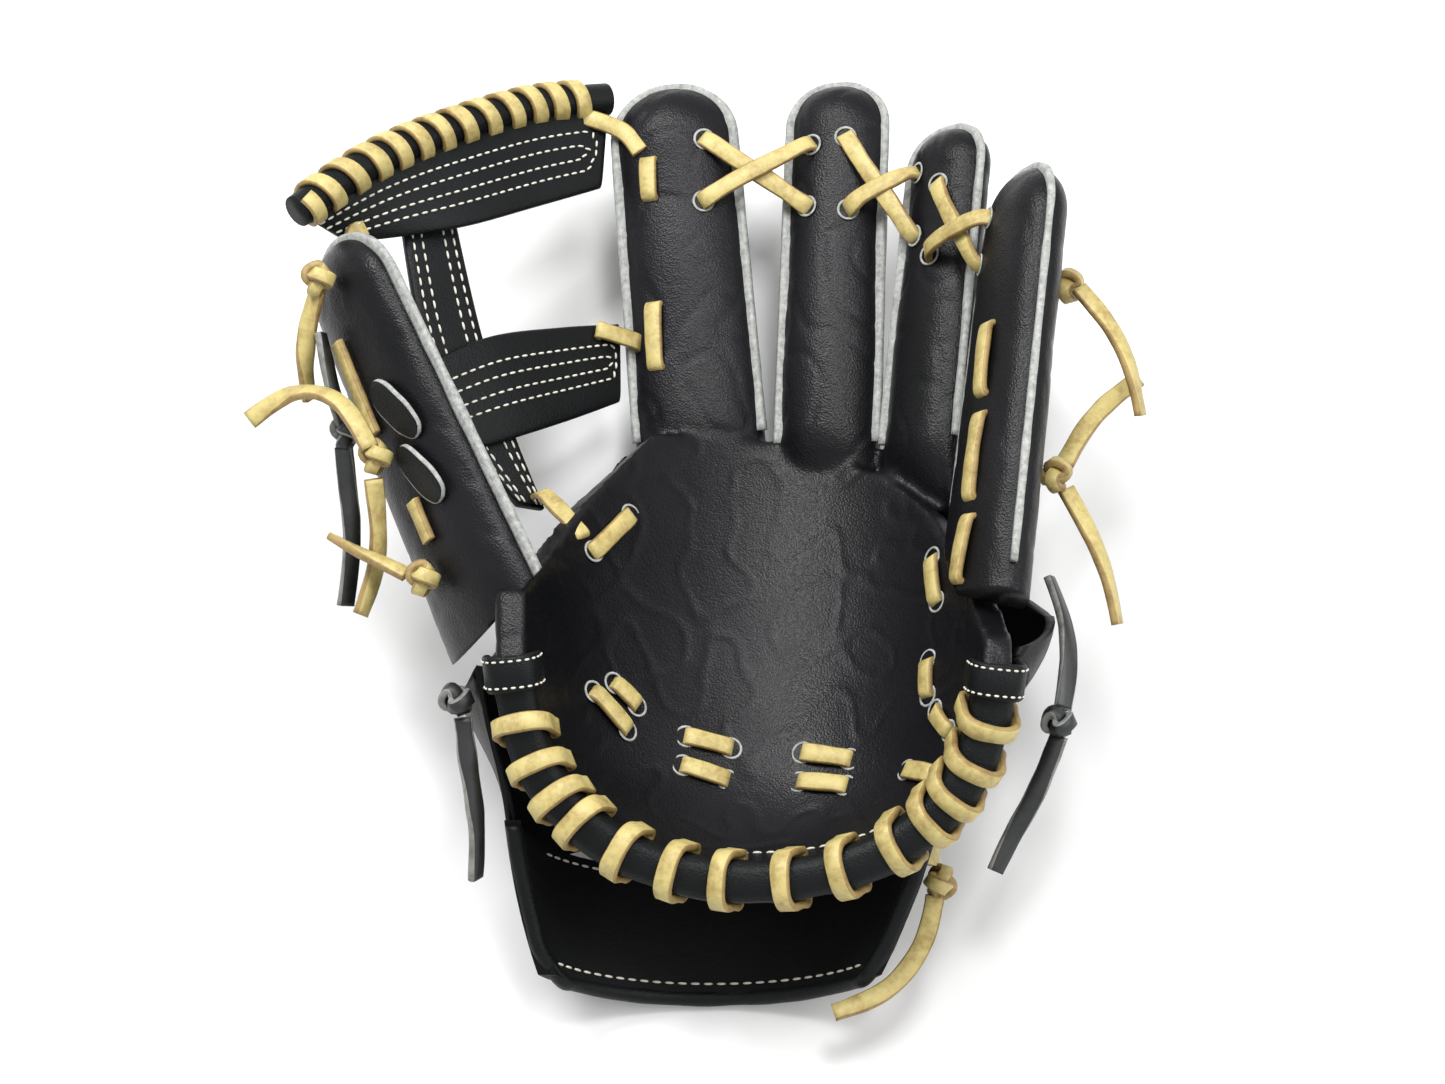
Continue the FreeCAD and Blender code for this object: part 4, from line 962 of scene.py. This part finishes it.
seams = Build()
sew(seams, [pocket_point(a, rim_spot(a) + 9, -0.2) for a in range(-8, 78, 2)],
    [pocket_normal(a, rim_spot(a) + 9) for a in range(-8, 78, 2)])
for below in (3.0, 38.0):
    path = [strap_spot(a, -97.5 - below, 5.2) for a in range(-62, 66, 2)]
    sew(seams, path, [unit(Vector((0, 0, 56)) - Vector((p.x, 0, p.z))) for p in path])
seams.piece("palm_stitches", [THREAD], "palm", "raw_welt")

web_seams = Build()


def sew_loop(build, near, far, shares, stop):
    """Two rows along a band that meet in a round turn at its index finger end."""
    count = 60
    a, b, normals = web_edges(near, far, count)
    first, last = shares
    route_points, ups = [], []
    steps = [(i, first) for i in range(1, count - stop)]
    for k in range(1, 10):
        turn = math.pi * k / 10
        steps.append((count - stop - 1 + round(3 * math.sin(turn)),
                      mix(first, last, (1 - math.cos(turn)) / 2)))
    steps += [(i, last) for i in range(count - stop - 1, 0, -1)]
    for i, share in steps:
        route_points.append(mix(a[i], b[i], share) + normals[i] * (WEB_T / 2 + 0.1))
        ups.append(normals[i])
    sew(build, route_points, ups, 3.4, 2.3, 0.4)


sew_loop(web_seams, WEB_TOP, WEB_TOP_LOW, (0.36, 0.78), 6)
sew_loop(web_seams, WEB_TOP, WEB_TOP_LOW, (0.5, 0.65), 8)
sew_loop(web_seams, CROSS_TOP, CROSS_LOW, (0.26, 0.68), 6)
sew_loop(web_seams, CROSS_TOP, CROSS_LOW, (0.4, 0.55), 8)
a, b, normals = web_edges(POST_LEFT, POST_RIGHT)
for share in (0.14, 0.3, 0.7, 0.86):
    sew(web_seams, [mix(p, q, share) + n * (-WEB_T / 2 - 0.5) for p, q, n in list(zip(a, b, normals))[1:-1]],
        normals[1:-1])
web_piece(web_seams, "web_stitches", [THREAD], "raw_welt")

# ------------------------ knots and free lace ends


def knotted(name, centres, axes, materials, body, slot, node, size=6.0, width=4.6):
    """Overhand knots of flat lace, drawn tight."""
    build = Build()
    for centre, axis in zip(centres, axes):
        axis = unit(axis)
        first = across(Vector((0.2, 0.1, 1)), axis)
        second = axis.cross(first)
        path, ups = [], []
        for i in range(48):
            t = math.tau * i / 48
            x, y, z = math.sin(t) + 2 * math.sin(2 * t), math.cos(t) - 2 * math.cos(2 * t), -math.sin(3 * t)
            offset = (first * x + second * y) * (size * 0.75 / 3) + axis * (z * size * 0.42)
            path.append(centre + offset)
            ups.append(unit(offset + axis * 0.01))
        build.grid(lace_rows(path, ups, width, 2.3, True), True, True, LACE_KINDS)
    piece = build.piece(name, materials, body, slot)
    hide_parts(node)
    return piece


def route(points):
    """Points along the smooth line of a lace end."""
    curve = bpy.data.curves.new("route", "CURVE")
    curve.dimensions = "3D"
    curve.resolution_u = 12
    spline = curve.splines.new("NURBS")
    spline.points.add(len(points) - 1)
    for target, point in zip(spline.points, points):
        target.co = (*place(Vector(point)), 1)
    spline.order_u = 3
    spline.use_endpoint_u = True
    holder = bpy.data.objects.new("route", curve)
    scene.collection.objects.link(holder)
    graph = bpy.context.evaluated_depsgraph_get()
    mesh = bpy.data.meshes.new_from_object(holder.evaluated_get(graph))
    path = [(v.co - ORIGIN) * 1000 for v in mesh.vertices]
    bpy.data.objects.remove(holder)
    bpy.data.curves.remove(curve)
    bpy.data.meshes.remove(mesh)
    return path


TAIL_WIDTH, TAIL_THICK = 6.0, 2.4
TAILS = {
    "thumb_tip_tail": ("thumb", [(-129, 66, 100), (-132, 59, 95), (-133.5, 52, 89), (-134, 45, 83),
        (-133, 38.5, 77)]),
    "thumb_left_tail": ("thumb", [(-111, 14, 94), (-116, 24, 95), (-123, 32, 93.5), (-132, 36, 90),
        (-142, 35, 86), (-151, 29, 82)]),
    "thumb_down_tail": ("thumb", [(-110, 6, 88), (-109, -3, 81), (-109, -12, 74), (-111, -21, 68),
        (-115, -31, 65)]),
    "thumb_low_tail": ("thumb", [(-99, -24, 82), (-107, -19, 80), (-116, -14, 77), (-124, -8, 74)]),
    "upper_tie_tail": ("thumb", [(-121, 21, 79), (-120, 10, 73), (-118.5, -1, 68), (-119, -13, 61),
        (-121, -24, 55)]),
    "upper_tie_loop": ("thumb", [(-120.5, 26.5, 81.3), (-123.5, 34, 85), (-125.5, 42, 88.5),
        (-127, 49, 90.5), (-128.5, 55, 92)]),
    "pinky_tip_tail": ("pinky", [(115, 73, 88), (122, 64, 88), (128, 54, 86), (132, 43, 83),
        (134, 32, 79)]),
    "pinky_upper_tail": ("pinky", [(109, 15, 79), (114, 25, 77), (120, 34, 75), (127, 42, 72),
        (135, 49, 70)]),
    "pinky_lower_tail": ("pinky", [(109, 6, 80), (114, -3, 78), (119, -13, 75), (123, -24, 71),
        (125, -35, 67)]),
    "wrist_tail": ("palm", [(67, -116, 39.5), (65.5, -125, 35), (61, -134, 31), (54, -142, 28),
        (45, -147, 26), (35, -150, 25)]),
    "thumb_tie_tail": ("palm", [(-80, -71, 81), (-79, -82, 75), (-77, -93, 68), (-76, -104, 60),
        (-77, -114, 52)]),
    "pinky_tie_tail": ("palm", [(105.8, -70, 61), (101.8, -80, 57), (96.8, -90, 52), (90.8, -99, 47),
        (85.8, -109, 43)]),
    "pinky_tie_loop": ("palm", [(107.1, -61.5, 62), (109.3, -51, 62), (109.8, -40, 62.5),
        (108.3, -29, 63.5), (104.2, -18, 64.5)]),
}
for node, (body, points) in TAILS.items():
    path = route(points)
    dark = "tie" in node
    spin = noise.noise(Vector(points[0]) * 0.37) * 0.8
    twists = [spin + 0.9 * i / len(path) for i in range(len(path))]
    ups = [Vector((math.sin(t), 0.35, math.cos(t))) for t in twists]
    length = sum((b - a).length for a, b in zip(path, path[1:]))
    width = min(TAIL_WIDTH, length / 6.1)  # the shortest ends are a little narrower
    build = Build()
    build.grid(lace_rows(path, ups, width, TAIL_THICK), True, False, LACE_KINDS, True)
    tail = build.piece(node + "_lace", [DARK_LACE, DARK_EDGE] if dark else [LACE, LACE_EDGE], body,
                       "black_lace" if dark else "tan_lace")
    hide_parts(node)

KNOT_RISE = 6.3  # middle of a knot above the leather
THUMB_BACK = [STALLS["thumb"].point(a, p, KNOT_RISE, -1) for a, p in ((116, -0.3), (56, 0.0), (14, 0.05))]
PINKY_BACK = [STALLS["pinky"].point(a, p, KNOT_RISE, -1) for a, p in ((124, 0.1), (58, 0.35))]
UPPER_TIE = STALLS["thumb"].point(70, 0.5, KNOT_RISE, -1)
ROUND = Vector((0.4, 0.9, 0.3))
knotted("thumb_lace_knots", THUMB_BACK, [THUMB.front] * 3, [LACE, LACE_EDGE], "thumb", "tan_lace",
        "thumb_knots")
knotted("pinky_lace_knots", PINKY_BACK, [STALLS["pinky"].front] * 2, [LACE, LACE_EDGE], "pinky", "tan_lace",
        "pinky_knots")
knotted("wrist_lace_knot", [Vector((68.6, -112, 41))], [Vector((1, 0, 0.4))], [LACE, LACE_EDGE], "palm",
        "tan_lace", "wrist_knot")
knotted("upper_tie_lace_knot", [UPPER_TIE], [THUMB.front], [DARK_LACE, DARK_EDGE], "thumb", "black_lace",
        "upper_tie_knot")
knotted("tie_lace_knots", [back_point(-108, -66, -6.9), Vector((105.8, -66, 62))], [ROUND, ROUND],
        [DARK_LACE, DARK_EDGE], "palm", "black_lace", "tie_knots")

# ------------------------ welts in the finger seams

WELT_WIDE, WELT_HIGH = 2.4, 3.4
# turn of the seam towards the pocket side, and where it starts along the stall
SEAMS = {"index": (20, 4), "middle": (20, 6), "ring": (18, 8), "pinky": (12, 22), "thumb": (3, -14)}
for finger, (tilt, begin) in SEAMS.items():
    stall = STALLS[finger]
    turn = math.radians(tilt)
    dome = stall.half_width * 0.9 * stall.tip_scale
    line = [mix(begin, stall.length - dome, i / 40) for i in range(40)]
    line += [stall.length - dome * (1 - math.sin(math.radians(a))) for a in range(0, 91, 5)]
    path, ups = [], []
    for side in (-1, 1):
        for at in line if side < 0 else line[-2::-1]:
            scale = max(stall.scale(at), 0.02)
            tip = max(at - (stall.length - dome), 0) / dome
            out = unit(stall.wide * (side * math.cos(turn) / stall.half_width)
                       + stall.front * (math.sin(turn) / stall.half_thick))
            path.append(stall.start + stall.run * at
                        + stall.wide * (side * stall.half_width * scale * math.cos(turn))
                        + stall.front * (stall.half_thick * scale * math.sin(turn)) + out * (0.3 * (1 - tip)))
            ups.append(unit(out * (1 - tip) + stall.run * tip + stall.wide * (side * 0.001)))
    build = Build()
    build.grid(lace_rows(path, ups, WELT_WIDE, WELT_HIGH, wander=0.25), True, False, None, True)
    body = finger if finger in ("thumb", "pinky") else "palm"
    welt = build.piece(finger + "_seam", [WELT], body, "raw_welt")
    if finger == "thumb":
        point, normal, _ = fold_planes(finger)
        keep_side(welt, point, normal, 0.15)
    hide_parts(finger + "_welt")

# ------------------------ heel tabs and strap edge

TAB_PATH = [(3.0, -10), (3.2, -5), (3.0, 0.2), (0.6, 3.9), (-4.6, 4.7), (-9.8, 3.9), (-12.4, 0.2),
            (-12.6, -5), (-12.4, -10)]
tab_build, tab_sewing = Build(), Build()
for angle in (-82.2, 81.2):
    point, inward, along, up = rim_axes(angle)
    path = curve_points([point + inward * n + up * b for n, b in TAB_PATH], 60)
    centre = point - inward * 4.6 - up * 3
    ups = [unit(p - centre) for p in path]
    tab_build.grid(lace_rows(path, ups, 11.5, 2.0, rounded=6.0), True, False, LACE_KINDS, True)
    for side in (-1, 1):
        row = [p + along * (side * 4.1) + u * 1.05 for p, u in zip(path, ups)]
        sew(tab_sewing, row[8:-8], ups[8:-8], 2.6, 1.6, 0.36)
heel_caps = tab_build.piece("heel_caps", [BLACK, BLACK], "palm", "black_leather")
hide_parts("heel_tabs")
tab_sewing.piece("heel_cap_stitches", [THREAD], "palm", "raw_welt")


EDGE_R = 2.7
edge_route = [strap_spot(mix(92, 71, i / 4), mix(-99, -133, i / 4), EDGE_R) for i in range(5)]
edge_route += [strap_spot(a, -138.6 - 0.9 * math.cos(math.radians(a)), EDGE_R) for a in range(62, -63, -6)]
edge_route += [strap_spot(mix(-71, -92, i / 4), mix(-133, -99, i / 4), EDGE_R) for i in range(5)]
piping = Build()
add_tube(piping, curve_points(edge_route, 160), EDGE_R, 16, 0.12)
piping.piece("strap_edge", [BLACK], "palm", "black_leather")

# ------------------------ pieces that keep their CAD shape

KEPT = {"wrist_strap": STRAP, "strap_lining": LINING, "wrist_lace": LACE}
for node, material in KEPT.items():
    mesh = frame["nodes"][node].data
    mesh.materials.clear()
    mesh.materials.append(material)

# ------------------------ floor and light

floor_mesh = bpy.data.meshes.new("floor")
FLOOR_HALF, FLOOR_Z = 4.0, -0.0005
corners = [(-1, -1), (1, -1), (1, 1), (-1, 1)]
floor_mesh.from_pydata([(x * FLOOR_HALF, y * FLOOR_HALF, FLOOR_Z) for x, y in corners], [], [(0, 1, 2, 3)])
floor = bpy.data.objects.new("floor", floor_mesh)
scene.collection.objects.link(floor)
ground = Nodes("floor")
ground.shader.inputs["Base Color"].default_value = (0.9, 0.9, 0.9, 1)
ground.shader.inputs["Roughness"].default_value = 0.9
floor_mesh.materials.append(ground.material)

world = bpy.data.worlds.new("world")
world.use_nodes = True
sky = world.node_tree
sky.nodes["Background"].inputs["Color"].default_value = (1, 1, 1, 1)
ray = sky.nodes.new("ShaderNodeLightPath")
power = sky.nodes.new("ShaderNodeMapRange")
power.inputs["To Min"].default_value = 0.55
power.inputs["To Max"].default_value = 1.0
seen = sky.nodes.new("ShaderNodeMath")
seen.operation = "MAXIMUM"
mirrored = sky.nodes.new("ShaderNodeMath")
mirrored.operation = "MAXIMUM"
sky.links.new(ray.outputs["Is Glossy Ray"], mirrored.inputs[0])
sky.links.new(ray.outputs["Is Transmission Ray"], mirrored.inputs[1])
sky.links.new(ray.outputs["Is Camera Ray"], seen.inputs[0])
sky.links.new(mirrored.outputs[0], seen.inputs[1])
sky.links.new(seen.outputs[0], power.inputs["Value"])
sky.links.new(power.outputs["Result"], sky.nodes["Background"].inputs["Strength"])
scene.world = world
scene.view_settings.view_transform = "Standard"


def lamp(name, where, size, watts):
    light = bpy.data.objects.new(name, bpy.data.lights.new(name, "AREA"))
    light.data.shape = "RECTANGLE"
    light.data.size, light.data.size_y = size
    light.data.energy = watts
    light.location = where
    light.rotation_euler = (Vector((0, 0, 0.05)) - Vector(where)).to_track_quat("-Z", "Y").to_euler()
    scene.collection.objects.link(light)


lamp("key", (-0.45, 0.55, 1.1), (0.4, 0.4), 14)
lamp("fill", (0.9, -0.2, 0.9), (0.8, 0.8), 6)
lamp("top", (0.15, 0.2, 1.2), (0.3, 0.3), 7)
